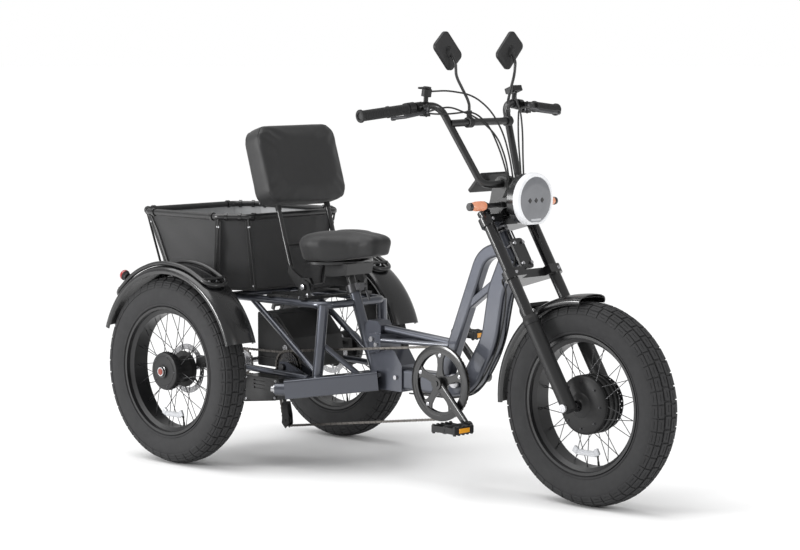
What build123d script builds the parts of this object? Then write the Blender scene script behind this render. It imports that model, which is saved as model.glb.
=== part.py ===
"""Adult electric tricycle with a chopper front end, a two-wheel rear frame, a basket and a backrest.

Millimetres. +X is forward, +Y is the rider's left and +Z is up. The origin is on the ground, at the
middle of the tricycle's overall length and width.
"""

import os
from math import cos, radians, sin, tan

from build123d import *

os.makedirs("parts", exist_ok=True)

# Driving dimensions
REAR_AXLE_X = -680
WHEELBASE = 1418
HALF_TRACK = 368.5
WHEEL_R = 300
TYRE_HALF_WIDTH = 51
RIM_R = 206
RIM_HALF_WIDTH = 44
SPOKE_R = 1.2
SPOKES_PER_SET = 9
AXLE_R = 9
SHAFT_GAP = 0.05
RAKE = 31.5
FORK_OFFSET = 45
LEG_Y = 95
STANCHION_R = 17.5
LEG_R = 23
STEERER_R = 14
BAR_R = 11
RISER_R = 14
CRANK_AXIS = (909, 320)
CRANK_LENGTH = 175
CHAINRING_R = 105
CHAIN_Y = -92
DRIVE_Y = -74
JACK_AXIS = (224, 305)
RAIL_Z = 523
RAIL_Y = 136
RAIL_R = 12
SPAR_Z = 301
SEAT_LEAN = 21.2
POST_R = 13.6
BACKREST_LEAN = 17
BACKREST_PIVOT = (345, 575)
BASKET_RIM_Z = 790
BASKET_FLOOR_Z = 548
FENDER_CENTRE = (12, 312)
CABLE_R = 2.6


def at(x, y, z):
    """A point given forward of the rear axle, left of the middle plane and above the ground."""
    return Vector(REAR_AXLE_X + x, y, z)


LEFT = Vector(0, 1, 0)
FORK_UP = Vector(-sin(radians(RAKE)), 0, cos(radians(RAKE)))
FORK_AHEAD = Vector(cos(radians(RAKE)), 0, sin(radians(RAKE)))
FRONT_AXLE = at(WHEELBASE, 0, WHEEL_R)
STEER_FOOT = FRONT_AXLE - FORK_AHEAD * FORK_OFFSET
FORK = Plane(origin=STEER_FOOT, x_dir=FORK_AHEAD, z_dir=FORK_UP)
SEAT_UP = Vector(-sin(radians(SEAT_LEAN)), 0, cos(radians(SEAT_LEAN)))
SEAT_TUBE_FOOT = at(545, 0, 290)


def on_fork(ahead, y, up):
    """A point given ahead of the steering axis, left of it and up it from the front axle's level."""
    return STEER_FOOT + FORK_AHEAD * ahead + LEFT * y + FORK_UP * up


def on_seat_tube(up, ahead=0.0, y=0.0):
    """A point given up the seat tube from its foot, ahead of its axis and left of it."""
    return SEAT_TUBE_FOOT + SEAT_UP * up + Vector(SEAT_UP.Z, 0, -SEAT_UP.X) * ahead + LEFT * y


def rod(start, end, radius, mode=Mode.ADD):
    """A round bar, or a round hole, from one point to another."""
    run = Vector(*end) - Vector(*start)
    with BuildSketch(Plane(origin=start, z_dir=run)) as disc:
        Circle(radius)
    extrude(disc.sketch, amount=run.length, mode=mode)


def bent_bar(points, radius, bends, closed=False):
    """A round bar along straight runs joined by tangent bends."""
    with BuildLine() as path:
        FilletPolyline(*points, radius=bends, close=closed)
    with BuildSketch(Plane(origin=path.line @ 0, z_dir=path.line % 0)) as section:
        Circle(radius)
    sweep(section.sketch, path=path.line)


def beam(points, width, depth, bends, corner):
    """A box-section member in a fore-and-aft plane, along straight runs joined by bends."""
    with BuildLine() as path:
        if bends:
            FilletPolyline(*points, radius=bends)
        else:
            Line(*points)
    with BuildSketch(Plane(origin=path.line @ 0, x_dir=LEFT, z_dir=path.line % 0)) as section:
        RectangleRounded(width, depth, corner)
    sweep(section.sketch, path=path.line)


def side_plate(outline, y_low, y_high, mode=Mode.ADD):
    """A flat plate whose outline lies fore and aft, between two distances left of the middle."""
    with BuildSketch(Plane(origin=(0, y_low, 0), x_dir=(1, 0, 0), z_dir=(0, -1, 0))) as face:
        with BuildLine():
            Polyline(*[(REAR_AXLE_X + x, z) for x, z in outline], close=True)
        make_face()
    extrude(face.sketch, amount=y_low - y_high, mode=mode)


def block(centre, length, width, height, mode=Mode.ADD):
    """A square block given by its centre."""
    with Locations(centre):
        Box(length, width, height, mode=mode)


def wheel_plane(centre):
    """The half plane that a wheel's sections are drawn in: across the wheel, then out from its axis."""
    return Plane(origin=centre, x_dir=LEFT, z_dir=(1, 0, 0))


def turned(centre, profile):
    """A turned part about a crosswise axis, from (sideways, radius) points."""
    with BuildSketch(wheel_plane(centre)) as section:
        with BuildLine():
            Polyline(*profile, close=True)
        make_face()
    revolve(section.sketch, axis=Axis(centre, LEFT))


def mirrored_points(points):
    """The same points on the other side of the middle plane, in the opposite order."""
    return [Vector(p.X, -p.Y, p.Z) for p in reversed(points)]


# ---------------------------------------------------------------- front frame
SPAR_WIDTH = 56
SPAR_DEPTH = 65
UPRIGHT_WIDTH = 38
UPRIGHT_DEPTH = 42
HEAD_TUBE_LOW = 456
HEAD_TUBE_HIGH = 588
HEAD_TUBE_R = 24
HEAD_BORE_R = 19
BB_R = 23
BB_HALF = 36
BB_BORE_R = 17
SPINDLE_R = 8.5
bb_left = at(CRANK_AXIS[0], BB_HALF, CRANK_AXIS[1])
bb_right = at(CRANK_AXIS[0], -BB_HALF, CRANK_AXIS[1])

with BuildPart() as front_frame:
    spar = [at(684, 0, SPAR_Z), at(945, 0, SPAR_Z), at(1040, 0, 455), at(1068, 0, 610), at(1116, 0, 712)]
    beam(spar, SPAR_WIDTH, SPAR_DEPTH, [110, 200, 160], 10)
    upright = [at(843, 0, 305), at(866, 0, 385), at(1000, 0, 712), at(1090, 0, 740)]
    beam(upright, UPRIGHT_WIDTH, UPRIGHT_DEPTH, [120, 85], 8)
    beam([at(932, 0, 544), at(1056, 0, 634)], 30, 24, None, 5)
    rod(at(584, 0, 450), at(888, 0, 428), 14)
    for side in (-1, 1):
        rod(at(602, side * 38, 419), at(868, side * 14, 424), 8)
    rod(on_fork(0, 0, HEAD_TUBE_LOW), on_fork(0, 0, HEAD_TUBE_HIGH), HEAD_TUBE_R)
    rod(bb_right, bb_left, BB_R)
    rod(on_fork(0, 0, HEAD_TUBE_LOW - 1), on_fork(0, 0, HEAD_TUBE_HIGH + 1), HEAD_BORE_R, Mode.SUBTRACT)
    rod(bb_right - LEFT, bb_left + LEFT, BB_BORE_R, Mode.SUBTRACT)
front_frame.part.label = "front_frame"
export_step(front_frame.part, "parts/front_frame.step")

# ----------------------------------------------------------------- rear frame
BEAM_END = (378, 247, 262)
BEAM_ROOT = (585, 40, 290)
POST_TUBE_R = 17
SEAT_TUBE_R = 17.5
SEAT_TUBE_TOP = 300
AXLE_POST_Y = 190
BEARING_R = 20

with BuildPart() as rear_frame:
    rail = [at(-235, -RAIL_Y, RAIL_Z), at(447, -RAIL_Y, RAIL_Z)]
    bent_bar(rail + mirrored_points(rail), RAIL_R, 42)
    for x, cross_r in ((-235, RAIL_R + 1), (0, RAIL_R - 1)):
        rod(at(x, -AXLE_POST_Y - 12, RAIL_Z), at(x, AXLE_POST_Y + 12, RAIL_Z), cross_r)
    for side in (-1, 1):
        end_plane = Plane(origin=at(378, side * 247, 262), x_dir=(1, side, 0), z_dir=(1, -side, 0.13))
        root_plane = Plane(origin=at(585, side * 40, 290), x_dir=(1, side, 0), z_dir=(1, -side, 0.13))
        with BuildSketch(end_plane, root_plane) as beam_ends:
            RectangleRounded(50, 60, 7)
        loft(beam_ends.sketch.faces())
        rod(at(434, side * 130, RAIL_Z), at(424, side * 150, 285), POST_TUBE_R)
        rod(at(105, side * RAIL_Y, RAIL_Z), at(438, side * 146, 292), 10)
        rod(at(430, side * 129, 396), at(548, side * 62, 292), 9)
        rod(at(0, side * AXLE_POST_Y, RAIL_Z), at(0, side * AXLE_POST_Y, WHEEL_R), 14)
        rod(at(0, side * AXLE_POST_Y, 309), at(426, side * AXLE_POST_Y, 296), 10)
        rod(at(0, side * (AXLE_POST_Y - 16), WHEEL_R), at(0, side * (AXLE_POST_Y + 16), WHEEL_R), 30)
        rod(at(0, side * (AXLE_POST_Y - 17), WHEEL_R), at(0, side * (AXLE_POST_Y + 17), WHEEL_R),
            BEARING_R, Mode.SUBTRACT)
        rod(at(352, side * 262, 262), at(392, side * 236, 262), 20)
    rod(on_seat_tube(0), on_seat_tube(SEAT_TUBE_TOP), SEAT_TUBE_R)
    side_plate([(549, 262), (549, 372), (577, 386), (651, 390), (684, 346), (684, 262)], -34, 34)
    side_plate([(516, 405), (516, 462), (530, 476), (570, 476), (584, 462), (584, 405)], -26, 26)
    side_plate([(552, 372), (552, 436), (602, 436), (602, 386)], -46, 46)
    rod(at(345, -160, 268), at(345, 160, 268), 12)
    for side in (-1, 1):
        rod(at(345, side * 158, 268), at(455, side * 158, 268), 10)
    side_plate([(206, 290), (206, 322), (242, 322), (360, 280), (360, 256), (330, 256)], -110, -104)
    side_plate([(206, 290), (206, 322), (242, 322), (360, 280), (360, 256), (330, 256)], -66, -60)
    rod(at(JACK_AXIS[0], -111, JACK_AXIS[1]), at(JACK_AXIS[0], -59, JACK_AXIS[1]), 7 + SHAFT_GAP, Mode.SUBTRACT)
    rod(on_seat_tube(120), on_seat_tube(SEAT_TUBE_TOP + 1), POST_R + SHAFT_GAP, Mode.SUBTRACT)
rear_frame.part.label = "rear_frame"
export_step(rear_frame.part, "parts/rear_frame.step")

# ----------------------------------------------------- bearings and fasteners
CUP_FLANGE = 5
PLATE_AHEAD = 33
PLATE_UP = 502
PLATE_BOLT_UPS = (468, 536)
PLATE_BOLT_Y = 19

with BuildPart() as frame_bearings:
    for low, inward, lip in ((HEAD_TUBE_LOW, 14, -CUP_FLANGE), (HEAD_TUBE_HIGH, -14, CUP_FLANGE)):
        rod(on_fork(0, 0, low), on_fork(0, 0, low + inward), HEAD_BORE_R)
        rod(on_fork(0, 0, low), on_fork(0, 0, low + lip), HEAD_TUBE_R)
    for side in (-1, 1):
        turned(at(CRANK_AXIS[0], 0, CRANK_AXIS[1]),
               [(side * 20, 4), (side * 20, BB_BORE_R), (side * 36, BB_BORE_R),
                (side * 36, 21), (side * 40, 21), (side * 40, 4)])
        turned(at(0, side * AXLE_POST_Y, WHEEL_R), [(-15, 4), (-15, BEARING_R), (15, BEARING_R), (15, 4)])
    rod(on_fork(0, 0, HEAD_TUBE_LOW - 8), on_fork(0, 0, HEAD_TUBE_HIGH + 8),
        STEERER_R + SHAFT_GAP, Mode.SUBTRACT)
    rod(bb_right - LEFT * 9, bb_left + LEFT * 9, SPINDLE_R + SHAFT_GAP, Mode.SUBTRACT)
    rod(at(0, -220, WHEEL_R), at(0, 220, WHEEL_R), AXLE_R + SHAFT_GAP, Mode.SUBTRACT)
frame_bearings.part.label = "frame_bearings"
export_step(frame_bearings.part, "parts/frame_bearings.step")

with BuildPart() as head_plate:
    plate_plane = Plane(origin=on_fork(PLATE_AHEAD, 0, PLATE_UP), x_dir=LEFT, z_dir=FORK_AHEAD)
    with BuildSketch(plate_plane) as plate_face:
        RectangleRounded(54, 100, 10)
    extrude(plate_face.sketch, amount=9)
    for up in PLATE_BOLT_UPS:
        for y in (-PLATE_BOLT_Y, PLATE_BOLT_Y):
            rod(on_fork(14, y, up), on_fork(PLATE_AHEAD, y, up), 5)
            rod(on_fork(PLATE_AHEAD - 1, y, up), on_fork(PLATE_AHEAD + 10, y, up), 3, Mode.SUBTRACT)
head_plate.part.label = "head_plate"
export_step(head_plate.part, "parts/head_plate.step")

with BuildPart() as frame_bolts:
    for side in (-1, 1):
        for x, y, z, r in ((584, 34, 306, 7), (660, 34, 306, 7), (566, 46, 420, 8), (586, 46, 404, 7)):
            rod(at(x, side * y, z), at(x, side * (y + 7), z), r)
        out = Vector(-26, side * 17, 0).normalized()
        rod(at(352, side * 262, 262), at(352, side * 262, 262) + out * 5, 14)
        rod(at(352, side * 262, 262) + out * 5, at(352, side * 262, 262) + out * 14, 9)
    for up in PLATE_BOLT_UPS:
        for y in (-PLATE_BOLT_Y, PLATE_BOLT_Y):
            rod(on_fork(PLATE_AHEAD, y, up), on_fork(PLATE_AHEAD + 14, y, up), 3)
            rod(on_fork(PLATE_AHEAD + 9, y, up), on_fork(PLATE_AHEAD + 14, y, up), 5.5)
frame_bolts.part.label = "frame_bolts"
export_step(frame_bolts.part, "parts/frame_bolts.step")

# -------------------------------------------------------------------- wheels
SPOKE_BED_R = 186
TYRE_SHOULDER_R = 282
CROWN_W = 47


def laced(hub_r, hub_w, lead):
    """One wheel's spokes: two crossing sets on each side of the hub."""
    for side in (-1, 1):
        for turn, shift in ((lead, 1.6), (-lead, -1.6)):
            foot = Vector(hub_r, 0, side * hub_w + shift)
            angle = radians(turn)
            rim = Vector(cos(angle) * SPOKE_BED_R, sin(angle) * SPOKE_BED_R, side * 9 + shift)
            run = rim - foot
            with PolarLocations(0, SPOKES_PER_SET, start_angle=side * 10 + turn / 2):
                with Locations(Plane(origin=(foot + rim) * 0.5, z_dir=run).location):
                    Cylinder(SPOKE_R, run.length)


def wheel_centre(name):
    """The middle of a wheel by its name."""
    if name == "front":
        return FRONT_AXLE
    return at(0, HALF_TRACK if name == "left" else -HALF_TRACK, WHEEL_R)


HUB_FLANGES = {"front": (86, 28, 14), "right": (56, 30, 20), "left": (56, 30, 20)}

for name, (flange_r, flange_w, lead) in HUB_FLANGES.items():
    centre = wheel_centre(name)
    with BuildPart() as tyre:
        with BuildSketch(wheel_plane(centre)) as section:
            with BuildLine():
                Line((-38, RIM_R), (38, RIM_R))
                ThreePointArc((38, RIM_R), (TYRE_HALF_WIDTH, 243), (CROWN_W, TYRE_SHOULDER_R))
                ThreePointArc((CROWN_W, TYRE_SHOULDER_R), (0, WHEEL_R), (-CROWN_W, TYRE_SHOULDER_R))
                ThreePointArc((-CROWN_W, TYRE_SHOULDER_R), (-TYRE_HALF_WIDTH, 243), (-38, RIM_R))
            make_face()
        revolve(axis=Axis(centre, LEFT))
    tyre.part.label = f"tyre_{name}"
    export_step(tyre.part, f"parts/tyre_{name}.step")

    with BuildPart(Plane(origin=centre, x_dir=(1, 0, 0), z_dir=LEFT)) as rim:
        turned(centre, [(-RIM_HALF_WIDTH, RIM_R), (RIM_HALF_WIDTH, RIM_R), (RIM_HALF_WIDTH, 198), (32, 196),
                        (24, 184), (-24, 184), (-32, 196), (-RIM_HALF_WIDTH, 198)])
        laced(flange_r, flange_w, lead)
    rim.part.label = f"rim_{name}"
    export_step(rim.part, f"parts/rim_{name}.step")

REAR_HUB = [(-52, AXLE_R), (-52, 24), (-40, 24), (-40, 44), (-35, 58), (-30, 58), (-28, 40), (20, 40), (24, 58),
            (52, 60), (58, 54), (58, AXLE_R)]
ROTOR_R = 80
for name, side, bore in (("right", -1, AXLE_R), ("left", 1, AXLE_R + SHAFT_GAP)):
    centre = wheel_centre(name)
    with BuildPart() as hub:
        turned(centre, [(side * w, bore if r == AXLE_R else r) for w, r in REAR_HUB])
        turned(centre, [(side * -47, 24), (side * -47, ROTOR_R), (side * -45, ROTOR_R), (side * -45, 24)])
    hub.part.label = f"hub_{name}"
    export_step(hub.part, f"parts/hub_{name}.step")

FRONT_AXLE_R = 7
FRONT_ROTOR_Y = 56
with BuildPart() as hub_front:
    turned(FRONT_AXLE, [(-50, 7.05), (-50, 20), (-42, 62), (-36, 84), (-31, 88), (31, 88), (36, 84), (42, 62),
                        (48, 24), (60, 22), (60, 7.05)])
    turned(FRONT_AXLE, [(55, 22), (55, ROTOR_R), (57, ROTOR_R), (57, 22)])
hub_front.part.label = "hub_front"
export_step(hub_front.part, "parts/hub_front.step")

# ------------------------------------------------------------- rear drive line
SPROCKET_R = 36
COG_RADII = (44, 39, 34, 30, 27)

with BuildPart() as rear_axle:
    rod(at(0, -432, WHEEL_R), at(0, 432, WHEEL_R), AXLE_R)
    rod(at(0, DRIVE_Y - 2, WHEEL_R), at(0, DRIVE_Y + 2, WHEEL_R), SPROCKET_R)
    rod(at(0, DRIVE_Y - 8, WHEEL_R), at(0, DRIVE_Y + 8, WHEEL_R), 20)
    for side in (-1, 1):
        rod(at(0, side * 427, WHEEL_R), at(0, side * 437, WHEEL_R), 14)
rear_axle.part.label = "rear_axle"
export_step(rear_axle.part, "parts/rear_axle.step")

with BuildPart() as jack_shaft:
    jack = at(JACK_AXIS[0], 0, JACK_AXIS[1])
    rod(jack - LEFT * 114, jack - LEFT * 56, 7)
    rod(jack + LEFT * (DRIVE_Y - 2), jack + LEFT * (DRIVE_Y + 2), SPROCKET_R)
    for index, cog_r in enumerate(COG_RADII):
        rod(jack + LEFT * (CHAIN_Y + 6 - 3 * index), jack + LEFT * (CHAIN_Y + 4.4 - 3 * index), cog_r)
    rod(jack + LEFT * (CHAIN_Y - 8), jack + LEFT * (DRIVE_Y + 6), 18)
    rod(jack - LEFT * 120, jack - LEFT * 112, 11)
jack_shaft.part.label = "jack_shaft"
export_step(jack_shaft.part, "parts/jack_shaft.step")

CALIPER_ANGLE = 25
with BuildPart() as rear_calipers:
    for side in (-1, 1):
        mid = at(72 * cos(radians(CALIPER_ANGLE)), side * (HALF_TRACK - 46),
                 WHEEL_R + 72 * sin(radians(CALIPER_ANGLE)))
        block(mid + Vector(8, 0, 0), 44, 17, 34)
        block(mid - Vector(14, 0, 0), 72, 5, 60, Mode.SUBTRACT)
        rod(mid - LEFT * (side * 8), at(60, side * (AXLE_POST_Y + 8), 307), 7)
rear_calipers.part.label = "rear_calipers"
export_step(rear_calipers.part, "parts/rear_calipers.step")

# --------------------------------------------------------------------- cranks
ARM_DOWN = 41
arm_dir = Vector(cos(radians(ARM_DOWN)), 0, -sin(radians(ARM_DOWN)))
crank_centre = at(CRANK_AXIS[0], 0, CRANK_AXIS[1])
with BuildPart() as cranks:
    rod(crank_centre - LEFT * 120, crank_centre + LEFT * 120, SPINDLE_R)
    for side in (-1, 1):
        arm_foot = crank_centre + LEFT * (side * 104)
        arm_end = arm_foot - arm_dir * (CRANK_LENGTH * side) + LEFT * (side * 14)
        rod(arm_foot - LEFT * (side * 6), arm_foot + LEFT * (side * 13), 19)
        rod(arm_end - LEFT * 9, arm_end + LEFT * 9, 15)
        with BuildSketch(Plane(origin=arm_foot, x_dir=LEFT, z_dir=arm_end - arm_foot)) as arm_root:
            RectangleRounded(16, 30, 6)
        with BuildSketch(Plane(origin=arm_end, x_dir=LEFT, z_dir=arm_end - arm_foot)) as arm_tip:
            RectangleRounded(13, 22, 5)
        loft([arm_root.sketch.face(), arm_tip.sketch.face()])
        rod(arm_end - LEFT * 12, arm_end + LEFT * 12, 6, Mode.SUBTRACT)
cranks.part.label = "cranks"
export_step(cranks.part, "parts/cranks.step")

with BuildPart() as chainring:
    ring_plane = Plane(origin=crank_centre + LEFT * (CHAIN_Y + 2), x_dir=(1, 0, 0), z_dir=-LEFT)
    with BuildSketch(ring_plane) as ring_face:
        Circle(CHAINRING_R)
        Circle(86, mode=Mode.SUBTRACT)
        Circle(28)
        with PolarLocations(57, 5, start_angle=18):
            Rectangle(62, 22)
        Circle(SPINDLE_R, mode=Mode.SUBTRACT)
    extrude(ring_face.sketch, amount=4)
    with BuildSketch(ring_plane.offset(8)) as guard_face:
        Circle(116)
        Circle(88, mode=Mode.SUBTRACT)
        with PolarLocations(82, 5, start_angle=18):
            Rectangle(22, 26)
    extrude(guard_face.sketch, amount=3)
    with BuildSketch(ring_plane.offset(3)) as spacer_face:
        with PolarLocations(82, 5, start_angle=18):
            Circle(6)
    extrude(spacer_face.sketch, amount=6)
chainring.part.label = "chainring"
export_step(chainring.part, "parts/chainring.step")

PEDAL_LENGTH = 96
for name, side in (("right", -1), ("left", 1)):
    hang = crank_centre - arm_dir * (CRANK_LENGTH * side) + LEFT * (side * 118)
    with BuildPart() as pedal:
        rod(hang - LEFT * (side * 9), hang + LEFT * (side * 110), 5.9)
        with BuildSketch(Plane(origin=hang + LEFT * (side * 66))) as frame_face:
            RectangleRounded(PEDAL_LENGTH, 84, 8)
            Rectangle(PEDAL_LENGTH - 26, 64, mode=Mode.SUBTRACT)
            Rectangle(26, 84)
        extrude(frame_face.sketch, amount=12, both=True)
    pedal.part.label = f"pedal_{name}"
    export_step(pedal.part, f"parts/pedal_{name}.step")

# ------------------------------------------------------------ chain and mech
CHAIN_HALF = 5


def chain_loop(centre_a, radius_a, centre_b, radius_b, y, sag=None):
    """A closed chain round two sprockets, and round a lower guide pulley where there is one."""
    with BuildSketch(Plane(origin=(0, y - 4, 0), x_dir=(1, 0, 0), z_dir=(0, -1, 0))) as face:
        for grow, mode in ((CHAIN_HALF, Mode.ADD), (-CHAIN_HALF, Mode.SUBTRACT)):
            circles = [(centre_a, radius_a), (centre_b, radius_b)] + ([sag] if sag else [])
            with BuildSketch(mode=Mode.PRIVATE) as loop:
                for centre, radius in circles:
                    with Locations((REAR_AXLE_X + centre[0], centre[1])):
                        Circle(radius + grow)
                make_hull()
            add(loop.sketch, mode=mode)
    extrude(face.sketch, amount=-8)


TENSIONER = (226, 131)
TENSIONER_R = 14
with BuildPart() as chains:
    chain_loop(JACK_AXIS, 50, CRANK_AXIS, CHAINRING_R + 5.6, CHAIN_Y, (TENSIONER, TENSIONER_R + 5.6))
    chain_loop((0, WHEEL_R), SPROCKET_R + 5.6, JACK_AXIS, SPROCKET_R + 5.6, DRIVE_Y)
chains.part.label = "chains"
export_step(chains.part, "parts/chains.step")

with BuildPart() as jockey_wheel:
    turned(at(TENSIONER[0], CHAIN_Y, TENSIONER[1]),
           [(-3, 4.05), (-3, TENSIONER_R), (3, TENSIONER_R), (3, 4.05)])
jockey_wheel.part.label = "jockey_wheel"
export_step(jockey_wheel.part, "parts/jockey_wheel.step")

with BuildPart() as derailleur:
    hanger = [(214, 288), (234, 288), (230, 190), (240, 150), (242, 120),
              (226, 104), (210, 120), (212, 150), (216, 190)]
    side_plate(hanger, CHAIN_Y - 12, CHAIN_Y - 8.5)
    side_plate(hanger[2:-1] + [(216, 190)], CHAIN_Y + 6, CHAIN_Y + 9)
    rod(at(TENSIONER[0], CHAIN_Y - 14, TENSIONER[1]), at(TENSIONER[0], CHAIN_Y + 9, TENSIONER[1]), 4)
    rod(at(226, CHAIN_Y - 12, 186), at(226, CHAIN_Y + 9, 186), 5)
derailleur.part.label = "derailleur"
export_step(derailleur.part, "parts/derailleur.step")

# ----------------------------------------------------- battery and controller
with BuildPart() as battery_case:
    side_plate([(46, 290), (222, 290), (222, 330), (214, 392), (140, 466), (46, 466)], -56, 165)
    fillet(battery_case.edges().filter_by(Axis.Y), 6)
    rod(at(178, -57, 356), at(178, -36, 356), 11.2, Mode.SUBTRACT)
battery_case.part.label = "battery_case"
export_step(battery_case.part, "parts/battery_case.step")

with BuildPart() as battery_lock:
    rod(at(178, -58.5, 356), at(178, -36, 356), 11)
    block(at(178, -59.5, 356), 2.4, 3, 10)
battery_lock.part.label = "battery_lock"
export_step(battery_lock.part, "parts/battery_lock.step")

with BuildPart() as controller_box:
    side_plate([(150, 196), (300, 214), (318, 240), (318, 284), (150, 284)], -215, -114)
    fillet(controller_box.edges().filter_by(Axis.Y), 5)
    for step in range(3):
        block(at(225, -215, 272 - 12 * step), 52, 8, 4.5, Mode.SUBTRACT)
controller_box.part.label = "controller_box"
export_step(controller_box.part, "parts/controller_box.step")

# --------------------------------------------------------------------- basket
RIM_TUBE_R = 10
LINER_WALL = 4


def octagon(x_rear, x_front, half_width, cut_x, cut_y):
    """A rectangle with its corners cut off, as points across the ground plane."""
    return [(x_rear, half_width - cut_y), (x_rear + cut_x, half_width), (x_front - cut_x, half_width),
            (x_front, half_width - cut_y), (x_front, cut_y - half_width), (x_front - cut_x, -half_width),
            (x_rear + cut_x, -half_width), (x_rear, cut_y - half_width)]


RIM_OUTLINE = octagon(-348, 150, 250, 78, 58)
BASE_OUTLINE = octagon(-300, 134, 214, 112, 62)


def outline_face(outline, z, inset=0.0):
    """A basket outline as a flat face at a height, drawn in by a wall's thickness."""
    with BuildSketch(Plane.XY.offset(z)) as face:
        Polygon(*[(REAR_AXLE_X + x, y) for x, y in outline], align=None)
        if inset:
            offset(amount=-inset, kind=Kind.INTERSECTION, mode=Mode.REPLACE)
    return face.sketch.face()


with BuildPart() as basket_liner:
    loft([outline_face(BASE_OUTLINE, BASKET_FLOOR_Z), outline_face(RIM_OUTLINE, 774, 2)], ruled=True)
    loft([outline_face(BASE_OUTLINE, BASKET_FLOOR_Z + 6, LINER_WALL),
          outline_face(RIM_OUTLINE, 775, LINER_WALL + 2)],
         ruled=True, mode=Mode.SUBTRACT)
basket_liner.part.label = "basket_liner"
export_step(basket_liner.part, "parts/basket_liner.step")

with BuildPart() as basket_rim:
    bent_bar([at(x, y, BASKET_RIM_Z) for x, y in RIM_OUTLINE], RIM_TUBE_R, 24, closed=True)
    for (rim_x, rim_y), (base_x, base_y) in zip(RIM_OUTLINE, BASE_OUTLINE):
        out = Vector(rim_x + 100, rim_y * 0.7, 0).normalized() * 4
        rod(at(rim_x, rim_y, 784) + out * 0.7, at(base_x, base_y, 552) + out * 1.4, 3.5)
basket_rim.part.label = "basket_rim"
export_step(basket_rim.part, "parts/basket_rim.step")

# ------------------------------------------------------------ fenders, lights
FENDER_SECTION = [(-60, 306), (-60, 315), (-54, 322), (-40, 327.5), (-20, 330.3), (0, 331),
                  (20, 330.3), (40, 327.5), (54, 322), (60, 315), (60, 306)]
FENDER_SHEET = 3
FENDER_REAR_ANGLE = 160
FENDER_ARC = 142


def arched_sheet(centre, section, sheet, start_angle, arc):
    """A curved guard over a wheel: an arched section swept about the axle, from a start angle."""
    angle = radians(start_angle)
    across = Plane(origin=centre, x_dir=LEFT, z_dir=(sin(angle), 0, -cos(angle)))
    inner = [(w * (1 - sheet / 62), r - sheet) for w, r in reversed(section[1:-1])]
    with BuildSketch(across) as face:
        with BuildLine():
            Polyline(*section, (section[-1][0] - sheet, section[-1][1]), *inner,
                     (section[0][0] + sheet, section[0][1]), close=True)
        make_face()
    revolve(face.sketch, axis=Axis(centre, LEFT), revolution_arc=arc)


with BuildPart() as rear_fenders:
    for side in (-1, 1):
        arched_sheet(at(FENDER_CENTRE[0], side * HALF_TRACK, FENDER_CENTRE[1]), FENDER_SECTION, FENDER_SHEET,
                     FENDER_REAR_ANGLE, FENDER_ARC)
        rod(at(-6, side * 203, RAIL_Z), at(-6, side * 310, 626), 7)
rear_fenders.part.label = "rear_fenders"
export_step(rear_fenders.part, "parts/rear_fenders.step")

GUARD_R = 341
GUARD_HALF = 43
GUARD_ANGLES = (142, 120, 98, 76, 54)
GUARD_TUBE_R = 7
with BuildPart() as fender_guards:
    for side in (-1, 1):
        loop = []
        for offset_y, angles in ((GUARD_HALF, GUARD_ANGLES), (-GUARD_HALF, tuple(reversed(GUARD_ANGLES)))):
            for angle in angles:
                loop.append(at(FENDER_CENTRE[0] + GUARD_R * cos(radians(angle)), side * (HALF_TRACK + offset_y),
                               FENDER_CENTRE[1] + GUARD_R * sin(radians(angle))))
        bent_bar(loop, GUARD_TUBE_R, [38, 300, 300, 300, 38, 38, 300, 300, 300, 38], closed=True)
        for angle in (60, 136):
            foot = Vector(cos(radians(angle)), 0, sin(radians(angle)))
            base = at(FENDER_CENTRE[0], side * HALF_TRACK, FENDER_CENTRE[1])
            rod(base + foot * 331.5, base + foot * 343, 9)
            rod(base + foot * 341 - LEFT * GUARD_HALF, base + foot * 341 + LEFT * GUARD_HALF, 5)
fender_guards.part.label = "fender_guards"
export_step(fender_guards.part, "parts/fender_guards.step")

with BuildPart() as taillights:
    for side in (-1, 1):
        base = at(-243, side * (HALF_TRACK + 8), 588)
        rod(base + Vector(0, 0, 0), base + Vector(-15, 0, 5), 17)
        rod(base + Vector(14, 0, -5), base + Vector(0, 0, 0), 12)
taillights.part.label = "taillights"
export_step(taillights.part, "parts/taillights.step")

# ----------------------------------------------------------------- seat group
CLAMP_UP = 297
with BuildPart() as seat_clamp:
    rod(on_seat_tube(CLAMP_UP - 14), on_seat_tube(CLAMP_UP + 12), 23)
    block(on_seat_tube(CLAMP_UP - 1, 27), 24, 22, 22)
    rod(on_seat_tube(CLAMP_UP - 15), on_seat_tube(SEAT_TUBE_TOP), SEAT_TUBE_R, Mode.SUBTRACT)
    rod(on_seat_tube(CLAMP_UP - 16), on_seat_tube(CLAMP_UP + 20), POST_R + SHAFT_GAP, Mode.SUBTRACT)
    rod(on_seat_tube(CLAMP_UP - 1, 30, -13), on_seat_tube(CLAMP_UP - 1, 30, 13), 4.05, Mode.SUBTRACT)
seat_clamp.part.label = "seat_clamp"
export_step(seat_clamp.part, "parts/seat_clamp.step")

with BuildPart() as seat_lever:
    rod(on_seat_tube(CLAMP_UP - 1, 30, -11), on_seat_tube(CLAMP_UP - 1, 30, 24), 4)
    rod(on_seat_tube(CLAMP_UP - 1, 30, 12.5), on_seat_tube(CLAMP_UP - 1, 30, 25), 8)
    rod(on_seat_tube(CLAMP_UP - 1, 30, 20), on_seat_tube(CLAMP_UP - 50, 34, 22), 4.5)
seat_lever.part.label = "seat_lever"
export_step(seat_lever.part, "parts/seat_lever.step")

POST_FOOT = 160
POST_HEAD = 375
with BuildPart() as seat_post:
    rod(on_seat_tube(POST_FOOT), on_seat_tube(POST_HEAD), POST_R)
seat_post.part.label = "seat_post"
export_step(seat_post.part, "parts/seat_post.step")

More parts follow.
